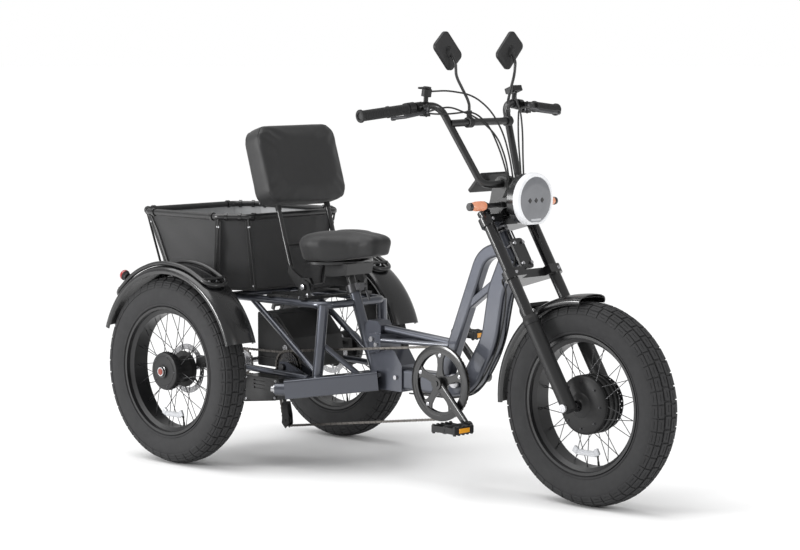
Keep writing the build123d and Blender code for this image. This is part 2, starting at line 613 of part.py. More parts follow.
with BuildPart() as saddle_pan:
    side_plate([(366, 606), (366, 650), (470, 650), (462, 614), (400, 606)], -58, 58)
    side_plate([(376, 600), (376, 634), (400, 634), (400, 600)], -40, 40, Mode.SUBTRACT)
    with BuildSketch(Plane.XY.offset(648)) as pan_face:
        with Locations((REAR_AXLE_X + 372, 54), (REAR_AXLE_X + 372, -54)):
            Circle(70)
        with Locations((REAR_AXLE_X + 420, 0)):
            Circle(50)
        make_hull()
    extrude(pan_face.sketch, amount=8)
    rod(on_seat_tube(POST_HEAD - 60), on_seat_tube(POST_HEAD + 2), POST_R, Mode.SUBTRACT)
saddle_pan.part.label = "saddle_pan"
export_step(saddle_pan.part, "parts/saddle_pan.step")

SADDLE_LOW = 657
SADDLE_HIGH = 762
with BuildPart() as saddle:
    with BuildSketch(Plane.XY.offset(SADDLE_LOW)) as saddle_face:
        with Locations((REAR_AXLE_X + 372, 64), (REAR_AXLE_X + 372, -64)):
            Circle(82)
        with Locations((REAR_AXLE_X + 542, 0)):
            Circle(42)
        make_hull()
    extrude(saddle_face.sketch, amount=SADDLE_HIGH - SADDLE_LOW)
    fillet(saddle.edges().group_by(Axis.Z)[-1], 26)
    side_plate([(440, 650), (600, 650), (600, 683), (440, 657)], -150, 150, Mode.SUBTRACT)
saddle.part.label = "saddle"
export_step(saddle.part, "parts/saddle.step")

PIVOT_Y = 120
PIVOT_R = 5
CARRIER_X = (205, 356)
with BuildPart() as seat_carrier:
    for x in CARRIER_X:
        block(at(x, 0, RAIL_Z + RAIL_R + 4), 26, 2 * RAIL_Y + 30, 8)
    for side in (-1, 1):
        low, high = sorted((side * (PIVOT_Y + 6), side * (PIVOT_Y + 12)))
        side_plate([(196, 543), (196, 550), (318, 556), (326, 590), (345, 598), (366, 588), (370, 543)],
                   low, high)
        rod(at(BACKREST_PIVOT[0], side * (PIVOT_Y - 12), BACKREST_PIVOT[1]),
            at(BACKREST_PIVOT[0], side * (PIVOT_Y + 18), BACKREST_PIVOT[1]), PIVOT_R)
        rod(at(BACKREST_PIVOT[0], side * (PIVOT_Y + 12), BACKREST_PIVOT[1]),
            at(BACKREST_PIVOT[0], side * (PIVOT_Y + 20), BACKREST_PIVOT[1]), 11)
seat_carrier.part.label = "seat_carrier"
export_step(seat_carrier.part, "parts/seat_carrier.step")

BACK_TUBE_Y = 109
with BuildPart() as backrest_frame:
    for side in (-1, 1):
        low, high = sorted((side * (PIVOT_Y - 7), side * (PIVOT_Y + 4)))
        side_plate([(262, 616), (270, 640), (288, 622), (326, 602), (362, 604), (374, 586), (366, 560),
                    (336, 550), (296, 580)], low, high)
        rod(at(BACKREST_PIVOT[0], side * (PIVOT_Y - 8), BACKREST_PIVOT[1]),
            at(BACKREST_PIVOT[0], side * (PIVOT_Y + 5), BACKREST_PIVOT[1]), PIVOT_R + SHAFT_GAP, Mode.SUBTRACT)
        tube = [at(276, side * (BACK_TUBE_Y + 4), 606), at(233, side * BACK_TUBE_Y, 725),
                at(204, side * BACK_TUBE_Y, 820), at(180, side * BACK_TUBE_Y, 900)]
        bent_bar(tube, 8, 120)
    rod(at(243, -BACK_TUBE_Y, 700), at(243, BACK_TUBE_Y, 700), 6)
backrest_frame.part.label = "backrest_frame"
export_step(backrest_frame.part, "parts/backrest_frame.step")

PAD_WIDTH = 348
PAD_HEIGHT = 258
PAD_THICK = 86
PAD_CENTRE = (170, 951)
with BuildPart() as backrest_pad:
    pad_up = Vector(-sin(radians(BACKREST_LEAN)), 0, cos(radians(BACKREST_LEAN)))
    pad_plane = Plane(origin=at(PAD_CENTRE[0], 0, PAD_CENTRE[1]), x_dir=LEFT, z_dir=LEFT.cross(pad_up))
    with BuildSketch(pad_plane) as pad_face:
        RectangleRounded(PAD_WIDTH, PAD_HEIGHT, 42)
    extrude(pad_face.sketch, amount=PAD_THICK / 2, both=True)
    fillet(backrest_pad.edges().filter_by(lambda edge: edge.length > 60), 22)
    for side in (-1, 1):
        rod(at(204, side * BACK_TUBE_Y, 820), at(180, side * BACK_TUBE_Y, 900), 8, Mode.SUBTRACT)
backrest_pad.part.label = "backrest_pad"
export_step(backrest_pad.part, "parts/backrest_pad.step")

# ------------------------------------------------------------------ front fork
CROWN_LOW = 419
CROWN_HIGH = 597
CROWN_THICK = 27
TRAVEL = 60
LEG_TOP = 278
ARCH_AHEAD = 6


def crown(up):
    """A fork crown: a plate that holds both legs ahead of the steerer."""
    with BuildSketch(FORK.offset(up)) as face:
        with Locations((FORK_OFFSET, LEG_Y), (FORK_OFFSET, -LEG_Y)):
            Circle(25)
        with Locations((4, 0)):
            Circle(27)
        make_hull()
        with Locations((FORK_OFFSET + 14, 0)):
            Rectangle(26, 110, mode=Mode.SUBTRACT)
    extrude(face.sketch, amount=CROWN_THICK)


with BuildPart() as fork_upper:
    crown(CROWN_LOW)
    crown(CROWN_HIGH)
    rod(on_fork(0, 0, CROWN_LOW + 2), on_fork(0, 0, CROWN_HIGH + CROWN_THICK), STEERER_R)
    for side in (-1, 1):
        rod(on_fork(FORK_OFFSET, side * LEG_Y, 78), on_fork(FORK_OFFSET, side * LEG_Y, 634), STANCHION_R)
        rod(on_fork(FORK_OFFSET, side * LEG_Y, 634), on_fork(FORK_OFFSET, side * LEG_Y, 642), 20)
fork_upper.part.label = "fork_upper"
export_step(fork_upper.part, "parts/fork_upper.step")

with BuildPart() as fork_lower:
    for side in (-1, 1):
        rod(on_fork(FORK_OFFSET, side * LEG_Y, -12), on_fork(FORK_OFFSET, side * LEG_Y, LEG_TOP), LEG_R)
        rod(on_fork(FORK_OFFSET, side * LEG_Y, LEG_TOP - 8),
            on_fork(FORK_OFFSET, side * LEG_Y, LEG_TOP + 4), 25)
        arch = [on_fork(FORK_OFFSET - 20, side * (LEG_Y - 15), 236), on_fork(ARCH_AHEAD, side * 70, 344),
                on_fork(ARCH_AHEAD, 0, 344)]
        bent_bar(arch, 9, 26)
    block(on_fork(FORK_OFFSET - 28, 66, 66), 32, 32, 46)
    block(on_fork(FORK_OFFSET - 28, 56, 60), 64, 5, 70, Mode.SUBTRACT)
    for side in (-1, 1):
        rod(on_fork(FORK_OFFSET, side * LEG_Y, 4), on_fork(FORK_OFFSET, side * LEG_Y, LEG_TOP + 5),
            STANCHION_R + SHAFT_GAP, Mode.SUBTRACT)
        rod(on_fork(FORK_OFFSET, side * LEG_Y, -11), on_fork(FORK_OFFSET, side * LEG_Y, 4), 12)
    rod(on_fork(FORK_OFFSET, -126, 0), on_fork(FORK_OFFSET, 126, 0), FRONT_AXLE_R, Mode.SUBTRACT)
fork_lower.part.label = "fork_lower"
export_step(fork_lower.part, "parts/fork_lower.step")

with BuildPart() as front_axle:
    rod(on_fork(FORK_OFFSET, -124, 0), on_fork(FORK_OFFSET, 124, 0), FRONT_AXLE_R)
    for side in (-1, 1):
        rod(on_fork(FORK_OFFSET, side * (LEG_Y + LEG_R), 0),
            on_fork(FORK_OFFSET, side * (LEG_Y + LEG_R + 8), 0), 12)
        rod(on_fork(FORK_OFFSET, side * 62, 0), on_fork(FORK_OFFSET, side * (LEG_Y - LEG_R), 0), 11)
front_axle.part.label = "front_axle"
export_step(front_axle.part, "parts/front_axle.step")

FRONT_FENDER_SECTION = [(-60, 298), (-60, 307), (-54, 314), (-40, 319.5), (-20, 322.3), (0, 323),
                        (20, 322.3), (40, 319.5), (54, 314), (60, 307), (60, 298)]
FRONT_FENDER_END = 184
FRONT_FENDER_ARC = 95
with BuildPart() as front_fender:
    arched_sheet(FRONT_AXLE, FRONT_FENDER_SECTION, FENDER_SHEET, FRONT_FENDER_END, FRONT_FENDER_ARC)
    rod(on_fork(ARCH_AHEAD, 0, 318), on_fork(ARCH_AHEAD, 0, 335), 12)
front_fender.part.label = "front_fender"
export_step(front_fender.part, "parts/front_fender.step")

# ------------------------------------------------------- handlebar and cockpit
BEND_RADII = [46, 32, 34]
grip_end = at(907, -436, 1137)
bar_bend = at(948, -147, 1166)
half_bar = [grip_end, bar_bend, at(1064, -84, 930), at(1090, -40, 930)]
bar_dir = (bar_bend - grip_end).normalized()


def along_bar(side, distance, ahead=0.0, up=0.0):
    """A point along a grip from its outer end, on the rider's right (-1) or left (1)."""
    point = grip_end + bar_dir * distance + Vector(ahead, 0, up)
    return Vector(point.X, point.Y * -side, point.Z)


with BuildPart() as handlebar:
    bent_bar(half_bar + mirrored_points(half_bar), BAR_R, BEND_RADII + BEND_RADII[::-1])
    bent_bar([at(986, -131, 1110), at(1015, -90, 1113), at(1015, 90, 1113), at(986, 131, 1110)], BAR_R, 40)
handlebar.part.label = "handlebar"
export_step(handlebar.part, "parts/handlebar.step")

STEM_OUTLINE = [(1050, 809), (1096, 836), (1082, 866), (1112, 916), (1110, 944), (1078, 952), (1058, 934),
                (1046, 880), (1032, 842)]
with BuildPart() as bar_clamp:
    for side in (-1, 1):
        low, high = sorted((side * 8, side * 27))
        side_plate(STEM_OUTLINE, low, high)
    side_plate([(1036, 846), (1062, 856), (1080, 896), (1048, 882)], -27, 27)
    rod(at(1090, -30, 930), at(1090, 30, 930), BAR_R, Mode.SUBTRACT)
bar_clamp.part.label = "bar_clamp"
export_step(bar_clamp.part, "parts/bar_clamp.step")

GRIP_R = 16
GRIP_LENGTHS = {-1: 105, 1: 130}
THROTTLE_SPAN = (107, 172)
with BuildPart() as grips:
    for side, length in GRIP_LENGTHS.items():
        rod(along_bar(side, -3), along_bar(side, length), GRIP_R)
        rod(along_bar(side, -3), along_bar(side, 4), 19.5)
        rod(along_bar(side, length - 6), along_bar(side, length), 18)
        rod(along_bar(side, 0), along_bar(side, length + 1), BAR_R, Mode.SUBTRACT)
grips.part.label = "grips"
export_step(grips.part, "parts/grips.step")

with BuildPart() as throttle:
    rod(along_bar(-1, THROTTLE_SPAN[0]), along_bar(-1, THROTTLE_SPAN[1]), 15.5)
    rod(along_bar(-1, THROTTLE_SPAN[1] - 8), along_bar(-1, THROTTLE_SPAN[1]), 19)
    rod(along_bar(-1, THROTTLE_SPAN[0] - 1), along_bar(-1, THROTTLE_SPAN[1] + 1),
        BAR_R + SHAFT_GAP, Mode.SUBTRACT)
throttle.part.label = "throttle"
export_step(throttle.part, "parts/throttle.step")

LEVER_PIVOT = (214, 34, -8)
POD_SPAN = (236, 250)
MIRROR_BASE = (1015, 86, 1113)
with BuildPart() as bar_controls:
    rod(along_bar(-1, 174), along_bar(-1, 196), 19)
    for side in (-1, 1):
        rod(along_bar(side, 203), along_bar(side, 227), 16.5)
        rod(along_bar(side, 214, 8, -2), along_bar(side, 214, 21, -5), 11)
        rod(along_bar(side, 214, 34, 2), along_bar(side, 214, 34, 9), 12)
        rod(along_bar(side, 214, 34, -25), along_bar(side, 214, 34, -18), 12)
        rod(along_bar(side, 214, 16.5, -25), along_bar(side, 214, 16.5, 9), 7)
        rod(along_bar(side, *POD_SPAN[:1]), along_bar(side, POD_SPAN[1]), 15)
        rod(along_bar(side, 243, 0, 8), along_bar(side, 243, 2, 32), 7)
        rod(at(MIRROR_BASE[0], side * (MIRROR_BASE[1] - 9), MIRROR_BASE[2]),
            at(MIRROR_BASE[0], side * (MIRROR_BASE[1] + 9), MIRROR_BASE[2]), 16)
        rod(at(MIRROR_BASE[0], side * MIRROR_BASE[1], 1124), at(MIRROR_BASE[0], side * MIRROR_BASE[1], 1138), 8)
    rod(along_bar(-1, 243, 2, 30), along_bar(-1, 243, 6, 52), 15)
    display_pod = Plane(origin=along_bar(1, 240, 0, 36), x_dir=LEFT, z_dir=(-0.35, 0, 0.94))
    with BuildSketch(display_pod) as pod_face:
        RectangleRounded(46, 40, 8)
    extrude(pod_face.sketch, amount=16)
    for side in (-1, 1):
        for low, high in ((170, 202), (202, 230), (230, 262)):
            rod(along_bar(side, low), along_bar(side, high), BAR_R, Mode.SUBTRACT)
        rod(at(MIRROR_BASE[0], side * 70, MIRROR_BASE[2]), at(MIRROR_BASE[0], side * 100, MIRROR_BASE[2]),
            BAR_R, Mode.SUBTRACT)
        rod(along_bar(side, 214, 34, -26), along_bar(side, 214, 34, 10), 3.05, Mode.SUBTRACT)
        rod(at(MIRROR_BASE[0], side * MIRROR_BASE[1], 1126), at(MIRROR_BASE[0], side * MIRROR_BASE[1], 1139),
            4.55, Mode.SUBTRACT)
bar_controls.part.label = "bar_controls"
export_step(bar_controls.part, "parts/bar_controls.step")

with BuildPart() as shift_lever:
    hub_point = along_bar(-1, 243, 6.4, 54)
    rod(hub_point, hub_point + Vector(0.7, 0, 4), 12)
    leaf_plane = Plane(origin=hub_point + Vector(0, 0, 0.6), x_dir=LEFT, z_dir=(0.18, 0, 0.98))
    with BuildSketch(leaf_plane) as leaf_face:
        with Locations((-14, -3)):
            Rectangle(24, 9)
        with Locations((-33, -8)):
            Ellipse(13, 8)
    extrude(leaf_face.sketch, amount=4)
shift_lever.part.label = "shift_lever"
export_step(shift_lever.part, "parts/shift_lever.step")

for name, side in (("right", -1), ("left", 1)):
    with BuildPart() as brake_lever:
        rod(along_bar(side, 214, 34, -17.5), along_bar(side, 214, 34, 1.5), 9)
        bent_bar([along_bar(side, 214, 34, -8), along_bar(side, 176, 54, -12), along_bar(side, 110, 62, -14),
                  along_bar(side, 66, 58, -13)], 5, 30)
        rod(along_bar(side, 214, 34, -27), along_bar(side, 214, 34, 11), 3)
        rod(along_bar(side, 74, 58.6, -13.4), along_bar(side, 64, 57.8, -12.8), 7)
    brake_lever.part.label = f"brake_lever_{name}"
    export_step(brake_lever.part, f"parts/brake_lever_{name}.step")

MIRROR_CENTRE = (972, 138, 1325)
MIRROR_SIZE = (74, 106)
MIRROR_TURN = 43
for name, side in (("right", -1), ("left", 1)):
    with BuildPart() as mirror_piece:
        stalk = [at(1015, side * 86, 1127), at(1015, side * 86, 1172), at(1002, side * 130, 1250),
                 at(1003, side * 133, 1292), at(982, side * 136, 1322)]
        bent_bar(stalk, 4.5, [60, 34, 16])
        face_plane = Plane(origin=at(968, side * 138, MIRROR_CENTRE[2]), x_dir=(0, side, 0), z_dir=(1, 0, 0))
        with BuildSketch(face_plane) as shell_face:
            with Locations(Location((0, 0), -side * MIRROR_TURN)):
                RectangleRounded(*MIRROR_SIZE, 15)
        extrude(shell_face.sketch, amount=13)
        rod(at(978, side * 137, 1318), at(990, side * 137, 1318), 12)
    mirror_piece.part.label = f"mirror_{name}"
    export_step(mirror_piece.part, f"parts/mirror_{name}.step")

# -------------------------------------------------------------------- lights
LAMP_Z = 887
LAMP_FLAT_Z = 814
LAMP_BACK_X = 1140
LAMP_RING_X = 1182
LAMP_FRONT_X = 1207
LAMP_R = 80
with BuildPart() as headlight_shell:
    rod(at(LAMP_BACK_X, 0, LAMP_Z), at(LAMP_RING_X, 0, LAMP_Z), LAMP_R - 4)
    chamfer(headlight_shell.edges().group_by(Axis.X)[0], 16)
    for side in (-1, 1):
        low, high = sorted((side * 42, side * 47))
        side_plate([(1068, 819), (1092, 834), (1112, 858), (1150, 866), (1150, 896), (1100, 888), (1072, 846)],
                   low, high)
    block(at(1180, 0, LAMP_FLAT_Z - 20), 120, 200, 40, Mode.SUBTRACT)
headlight_shell.part.label = "headlight_shell"
export_step(headlight_shell.part, "parts/headlight_shell.step")

with BuildPart() as headlight_lens:
    rod(at(LAMP_RING_X, 0, LAMP_Z), at(LAMP_FRONT_X, 0, LAMP_Z), LAMP_R)
    chamfer(headlight_lens.edges().group_by(Axis.X)[-1], 8)
    block(at(1195, 0, LAMP_FLAT_Z - 21), 60, 200, 42, Mode.SUBTRACT)
headlight_lens.part.label = "headlight_lens"
export_step(headlight_lens.part, "parts/headlight_lens.step")

with BuildPart() as turn_signals:
    for side in (-1, 1):
        rod(at(1114, side * 47, 871), at(1114, side * 128, 871), 9)
        rod(at(1114, side * 128, 871), at(1114, side * 190, 870), 14)
        rod(at(1114, side * 190, 870), at(1114, side * 197, 870), 11)
turn_signals.part.label = "turn_signals"
export_step(turn_signals.part, "parts/turn_signals.step")

with BuildPart() as display:
    screen_plane = Plane(origin=at(1018, 0, 929), x_dir=LEFT, z_dir=(-0.73, 0, 0.68))
    with BuildSketch(screen_plane) as screen_face:
        RectangleRounded(126, 76, 8)
    extrude(screen_face.sketch, amount=8)
    rod(at(1014, 0, 933), at(1053, 0, 902), 7)
display.part.label = "display"
export_step(display.part, "parts/display.step")

# -------------------------------------------------------------------- cables


def cable(points):
    """A cable that its clips hold all the way, with each bend as large as its two runs allow."""
    radii = []
    for before, corner, after in zip(points, points[1:], points[2:]):
        run_in, run_out = corner - before, after - corner
        turn = run_in.get_angle(run_out)
        radii.append(0.45 * min(run_in.length, run_out.length) / tan(radians(turn / 2)))
    bent_bar(points, CABLE_R, radii)


BAR_CABLES = [
    [along_bar(-1, 212, 47, -10), along_bar(-1, 244, 56, -4), at(1000, -150, 1160), at(1060, -92, 1126),
     at(1094, -50, 1074), at(1110, -30, 1010), at(1120, -22, 940), at(1114, -18, 880), on_fork(72, -14, 628)],
    [along_bar(-1, 198, 14, -8), along_bar(-1, 244, 24, -22), at(984, -140, 1138), at(1038, -92, 1148),
     at(1072, -60, 1104), at(1100, -42, 1030), at(1124, -34, 950), at(1116, -28, 884), on_fork(72, -24, 628)],
    [along_bar(-1, 250, 16, 44), at(982, -148, 1208), at(1036, -96, 1196), at(1064, -44, 1150),
     at(1092, -18, 1080), at(1112, -10, 1000), at(1124, -8, 930), at(1112, -6, 870), on_fork(70, -4, 628)],
    [along_bar(1, 212, 47, -10), along_bar(1, 246, 56, -8), at(1010, 142, 1148), at(1052, 92, 1110),
     at(1082, 60, 1050), at(1104, 44, 980), at(1118, 34, 920), at(1108, 24, 866), on_fork(70, 14, 628)],
    [along_bar(1, 248, 14, 36), at(988, 152, 1178), at(1034, 124, 1140), at(1072, 90, 1080),
     at(1098, 62, 1010), at(1116, 46, 940), at(1110, 36, 880), on_fork(70, 26, 628)],
]
with BuildPart() as bar_cables:
    for route in BAR_CABLES:
        cable(route)
bar_cables.part.label = "bar_cables"
export_step(bar_cables.part, "parts/bar_cables.step")

with BuildPart() as frame_cables:
    for side in (-1, 1):
        cable([on_fork(29, side * 9, 582), on_fork(29, side * 10, 516), on_fork(22, side * 32, 474),
               on_fork(-12, side * 38, 463), on_fork(-50, side * 34, 456), at(1106, side * 20, 614),
               at(1098, side * 14, 556), at(1080, side * 14, 472), at(1053, side * 14, 404), at(1008, side * 14, 333),
               at(955, side * 14, 279), at(880, side * 15, 261), at(790, side * 14, 260), at(700, side * 15, 258)])
frame_cables.part.label = "frame_cables"
export_step(frame_cables.part, "parts/frame_cables.step")
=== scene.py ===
"""Finishes and detailed pieces for an adult electric tricycle, built around its frame of CAD solids.

Metres. +X is forward, +Y is the rider's left, +Z is up, and the floor is at zero.
"""

from math import asin, atan2, cos, degrees, pi, radians, sin, sqrt, tau

import bmesh
import bpy
from mathutils import Matrix, Vector


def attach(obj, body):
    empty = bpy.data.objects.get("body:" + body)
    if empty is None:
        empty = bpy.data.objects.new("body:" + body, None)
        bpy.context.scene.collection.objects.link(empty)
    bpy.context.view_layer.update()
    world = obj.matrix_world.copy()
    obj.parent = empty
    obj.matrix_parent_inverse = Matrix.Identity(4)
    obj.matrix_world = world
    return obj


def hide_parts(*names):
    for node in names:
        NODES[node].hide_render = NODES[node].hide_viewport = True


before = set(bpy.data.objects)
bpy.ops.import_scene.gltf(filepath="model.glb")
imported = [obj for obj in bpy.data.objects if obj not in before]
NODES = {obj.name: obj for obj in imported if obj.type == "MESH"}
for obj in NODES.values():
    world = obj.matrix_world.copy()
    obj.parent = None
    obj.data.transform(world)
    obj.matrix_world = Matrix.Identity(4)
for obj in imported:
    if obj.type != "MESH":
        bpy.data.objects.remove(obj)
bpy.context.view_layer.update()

bl_info = {
    "name": "Adult Electric Tricycle",
    "version": (1, 0, 0),
    "blender": (4, 5, 0),
    "location": "View3D > Sidebar > Tricycle",
    "description": "Builds the tyres, cushions, basket, lamps and finishes of an adult electric tricycle",
    "category": "Object",
}

MM = 0.001
REAR_AXLE_X = -0.680
HALF_TRACK = 0.3685
WHEEL_R = 0.300
WHEEL_CENTRES = {
    "front": Vector((0.738, 0.0, WHEEL_R)),
    "right": Vector((REAR_AXLE_X, -HALF_TRACK, WHEEL_R)),
    "left": Vector((REAR_AXLE_X, HALF_TRACK, WHEEL_R)),
}
WHEEL_BODIES = {"front": "front_wheel", "right": "drive_axle", "left": "left_wheel"}
RAKE = radians(31.5)
FORK_UP = Vector((-sin(RAKE), 0, cos(RAKE)))
FORK_AHEAD = Vector((cos(RAKE), 0, sin(RAKE)))
LEFT = Vector((0, 1, 0))
STEER_FOOT = WHEEL_CENTRES["front"] - FORK_AHEAD * 0.045


def at(x, y, z):
    """A point in millimetres forward of the rear axle, left of the middle and above the floor."""
    return Vector((REAR_AXLE_X + x * MM, y * MM, z * MM))


def on_fork(ahead, y, up):
    """A point in millimetres ahead of the steering axis, left of it and up it from the front axle's level."""
    return STEER_FOOT + FORK_AHEAD * (ahead * MM) + LEFT * (y * MM) + FORK_UP * (up * MM)


# ------------------------------------------------------------------ shader sums


class Signal:
    """An output of a finish's nodes that Python sums turn into Math nodes."""

    def __init__(self, finish, socket):
        self.finish = finish
        self.socket = socket

    def math(self, operation, *others):
        """A Math node of this signal and others."""
        values = {index + 1: other for index, other in enumerate(others)}
        return self.finish.node("ShaderNodeMath", {"operation": operation}, {0: self, **values})

    def __add__(self, other):
        return self.math("ADD", other)

    __radd__ = __add__

    def __mul__(self, other):
        return self.math("MULTIPLY", other)

    __rmul__ = __mul__

    def __sub__(self, other):
        return self.math("SUBTRACT", other)

    def __rsub__(self, other):
        return self.finish.node("ShaderNodeMath", {"operation": "SUBTRACT"}, {0: other, 1: self})

    def above(self, edge):
        """One where this signal is above an edge, and nought elsewhere."""
        return self.math("GREATER_THAN", edge)

    def below(self, edge):
        """One where this signal is below an edge, and nought elsewhere."""
        return self.math("LESS_THAN", edge)


class Finish:
    """A material that is put together from nodes."""

    def __init__(self, name, colour, roughness, **shader):
        self.material = bpy.data.materials.new(name)
        self.material.use_nodes = True
        self.tree = self.material.node_tree
        self.shader = self.tree.nodes["Principled BSDF"]
        self.set("Base Color", (*colour, 1))
        self.set("Roughness", roughness)
        for socket, value in shader.items():
            self.set(socket.replace("_", " ").title().replace("Ior", "IOR"), value)

    def set(self, socket, value):
        """Sets or links one of the shader's own sockets."""
        self.feed(self.shader.inputs[socket], value)

    def feed(self, socket, value):
        """Links a signal to a socket, or writes a plain value there."""
        if isinstance(value, Signal):
            self.tree.links.new(value.socket, socket)
        else:
            socket.default_value = value

    def node(self, kind, settings=None, values=None, out=0):
        """Adds a node with its settings, then its sockets' values or links, and gives one output."""
        made = self.tree.nodes.new(kind)
        for key, setting in (settings or {}).items():
            setattr(made, key, setting)
        for key, value in (values or {}).items():
            self.feed(made.inputs[key], value)
        return Signal(self, made.outputs[out])

    def place(self, centre=(0, 0, 0), scale=(1, 1, 1), turn=(0, 0, 0)):
        """Object coordinates, centred and stretched."""
        raw = self.node("ShaderNodeTexCoord", out="Object")
        moved = [-c * s for c, s in zip(centre, scale)]
        return self.node("ShaderNodeMapping", None, {"Vector": raw, "Location": moved, "Scale": scale, "Rotation": turn})

    def axis(self, index, where=None):
        """One coordinate of the surface."""
        spot = where or self.node("ShaderNodeTexCoord", out="Object")
        return self.node("ShaderNodeSeparateXYZ", None, {0: spot}, out=index)

    def noise(self, scale, detail=3.0, roughness=0.55, where=None):
        """Soft random mottle."""
        values = {"Scale": scale, "Detail": detail, "Roughness": roughness}
        values["Vector"] = where or self.place()
        return self.node("ShaderNodeTexNoise", None, values)

    def grain(self, scale, where=None):
        """Small cells, as in embossed vinyl or moulded rubber."""
        values = {"Scale": scale, "Vector": where or self.place()}
        return self.node("ShaderNodeTexVoronoi", {"feature": "DISTANCE_TO_EDGE"}, values)

    def mix(self, factor, first, second):
        """A colour between two colours."""
        return self.node("ShaderNodeMix", {"data_type": "RGBA"}, {0: factor, 6: first, 7: second}, out=2)

    def tint(self, factor, first, second):
        """Paints the base colour between two colours."""
        self.set("Base Color", self.mix(factor, (*first, 1), (*second, 1)))

    def bump(self, height, strength, distance):
        """Raises the surface by a height signal."""
        values = {"Height": height, "Strength": strength, "Distance": distance}
        self.set("Normal", self.node("ShaderNodeBump", None, values))

    def ranged(self, signal, low, high):
        """A signal of nought to one stretched between two numbers."""
        return signal * (high - low) + low


FINISHES = {}


def scaled(colour, factor):
    """A colour made lighter or darker."""
    return tuple(c * factor for c in colour)


def moulded(name, colour, roughness, grain_size=1400, depth=0.00012, **shader):
    """Moulded plastic or rubber: fine grain, with faint mottling of shade and gloss."""
    finish = Finish(name, colour, roughness, **shader)
    cloud = finish.noise(9, 4)
    finish.tint(cloud, scaled(colour, 0.78), scaled(colour, 1.28))
    finish.set("Roughness", finish.ranged(finish.noise(45, 3), roughness - 0.08, roughness + 0.1))
    finish.bump(finish.grain(grain_size), 0.35, depth)
    FINISHES[name] = finish.material
    return finish


def painted(name, colour, roughness, metallic, coat):
    """Sprayed paint: fine flake, a slow change of shade and a clear coat that ripples slightly."""
    finish = Finish(name, colour, roughness, metallic=metallic, coat_weight=coat, coat_roughness=0.09)
    flake = finish.noise(900, 2)
    cloud = finish.noise(4, 3)
    finish.tint(flake * 0.5 + cloud * 0.5, scaled(colour, 0.72), scaled(colour, 1.35))
    finish.set("Roughness", finish.ranged(cloud, roughness - 0.06, roughness + 0.1))
    finish.bump(finish.noise(160, 2), 0.12, 0.0002)
    FINISHES[name] = finish.material
    return finish


def metal(name, colour, roughness, brush=(60, 900, 60)):
    """Turned or brushed metal with fine lines along one way."""
    finish = Finish(name, colour, roughness, metallic=1.0)
    lines = finish.noise(1.0, 3, where=finish.place(scale=brush))
    finish.tint(lines, scaled(colour, 0.6), scaled(colour, 1.15))
    finish.set("Roughness", finish.ranged(lines, roughness - 0.06, roughness + 0.16))
    finish.bump(lines, 0.15, 0.0001)
    FINISHES[name] = finish.material
    return finish


def vinyl(name, colour):
    """Grained vinyl: small cells, soft stretch marks and a low sheen."""
    finish = Finish(name, colour, 0.52, specular_ior_level=0.4, sheen_weight=0.12, sheen_roughness=0.5)
    cloud = finish.noise(7, 4)
    finish.tint(cloud, scaled(colour, 0.85), scaled(colour, 1.3))
    finish.set("Roughness", finish.ranged(finish.noise(30, 3), 0.44, 0.62))
    finish.bump(finish.grain(520) + finish.noise(140, 4) * 0.35, 0.28, 0.0005)
    FINISHES[name] = finish.material
    return finish


def woven(name, colour, thread=520):
    """Coated canvas: a plain weave of crossing threads, with slubs and folds of shade."""
    finish = Finish(name, colour, 0.72, sheen_weight=0.2, sheen_roughness=0.6)
    across = finish.axis(0) * thread
    along = finish.axis(1) * thread
    up = finish.axis(2) * thread
    warp = (across * tau + along * tau).math("SINE")
    weft = (up * tau).math("SINE")
    cloth = (warp * weft) * 0.5 + 0.5
    slub = finish.noise(28, 5)
    finish.tint(slub * 0.7 + cloth * 0.3, scaled(colour, 0.72), scaled(colour, 1.3))
    finish.set("Roughness", finish.ranged(slub, 0.62, 0.82))
    finish.bump(cloth, 0.4, 0.0004)
    FINISHES[name] = finish.material
    return finish


def radius_from(finish, centre):
    """How far the surface is from a crosswise axis, in metres."""
    x = finish.axis(0) - centre[0]
    z = finish.axis(2) - centre[2]
    return (x * x + z * z).math("SQRT")


# ----------------------------------------------------------------- mesh helpers


def deselect():
    """Nothing stays selected or active."""
    if bpy.context.object and bpy.context.object.mode != "OBJECT":
        bpy.ops.object.mode_set(mode="OBJECT")
    bpy.ops.object.select_all(action="DESELECT")


def only(obj):
    """Makes one object the selected and active one."""
    deselect()
    obj.select_set(True)
    bpy.context.view_layer.objects.active = obj
    return obj


def fresh():
    """The object that an add operator has just made."""
    return only(bpy.context.object)


def settle(obj):
    """Writes an object's place, turn and size into its mesh."""
    only(obj)
    bpy.ops.object.transform_apply(location=True, rotation=True, scale=True)
    return obj


def stand(obj, centre, turn=None):
    """Turns an object and moves it to a point, in its mesh."""
    obj.matrix_world = Matrix.Translation(centre) @ (turn.to_4x4() if turn else Matrix()) @ obj.matrix_world
    return settle(obj)


def modify(obj, kind, **settings):
    """Adds a modifier and applies it."""
    only(obj)
    modifier = obj.modifiers.new(kind.title(), kind)
    for key, value in settings.items():
        setattr(modifier, key, value)
    bpy.ops.object.modifier_apply(modifier=modifier.name)
    return obj


def edit(obj, kind="FACE"):
    """Opens an object for editing with everything selected."""
    only(obj)
    bpy.ops.object.mode_set(mode="EDIT")
    bpy.ops.mesh.select_mode(type=kind)
    bpy.ops.mesh.select_all(action="SELECT")


def done():
    """Leaves edit mode."""
    bpy.ops.object.mode_set(mode="OBJECT")


def pick(obj, test, kind="faces"):
    """Selects, in edit mode, the faces, edges or points that pass a test."""
    bpy.ops.mesh.select_all(action="DESELECT")
    shape = bmesh.from_edit_mesh(obj.data)
    for item in getattr(shape, kind):
        if test(item):
            item.select_set(True)
    shape.select_flush_mode()
    bmesh.update_edit_mesh(obj.data)


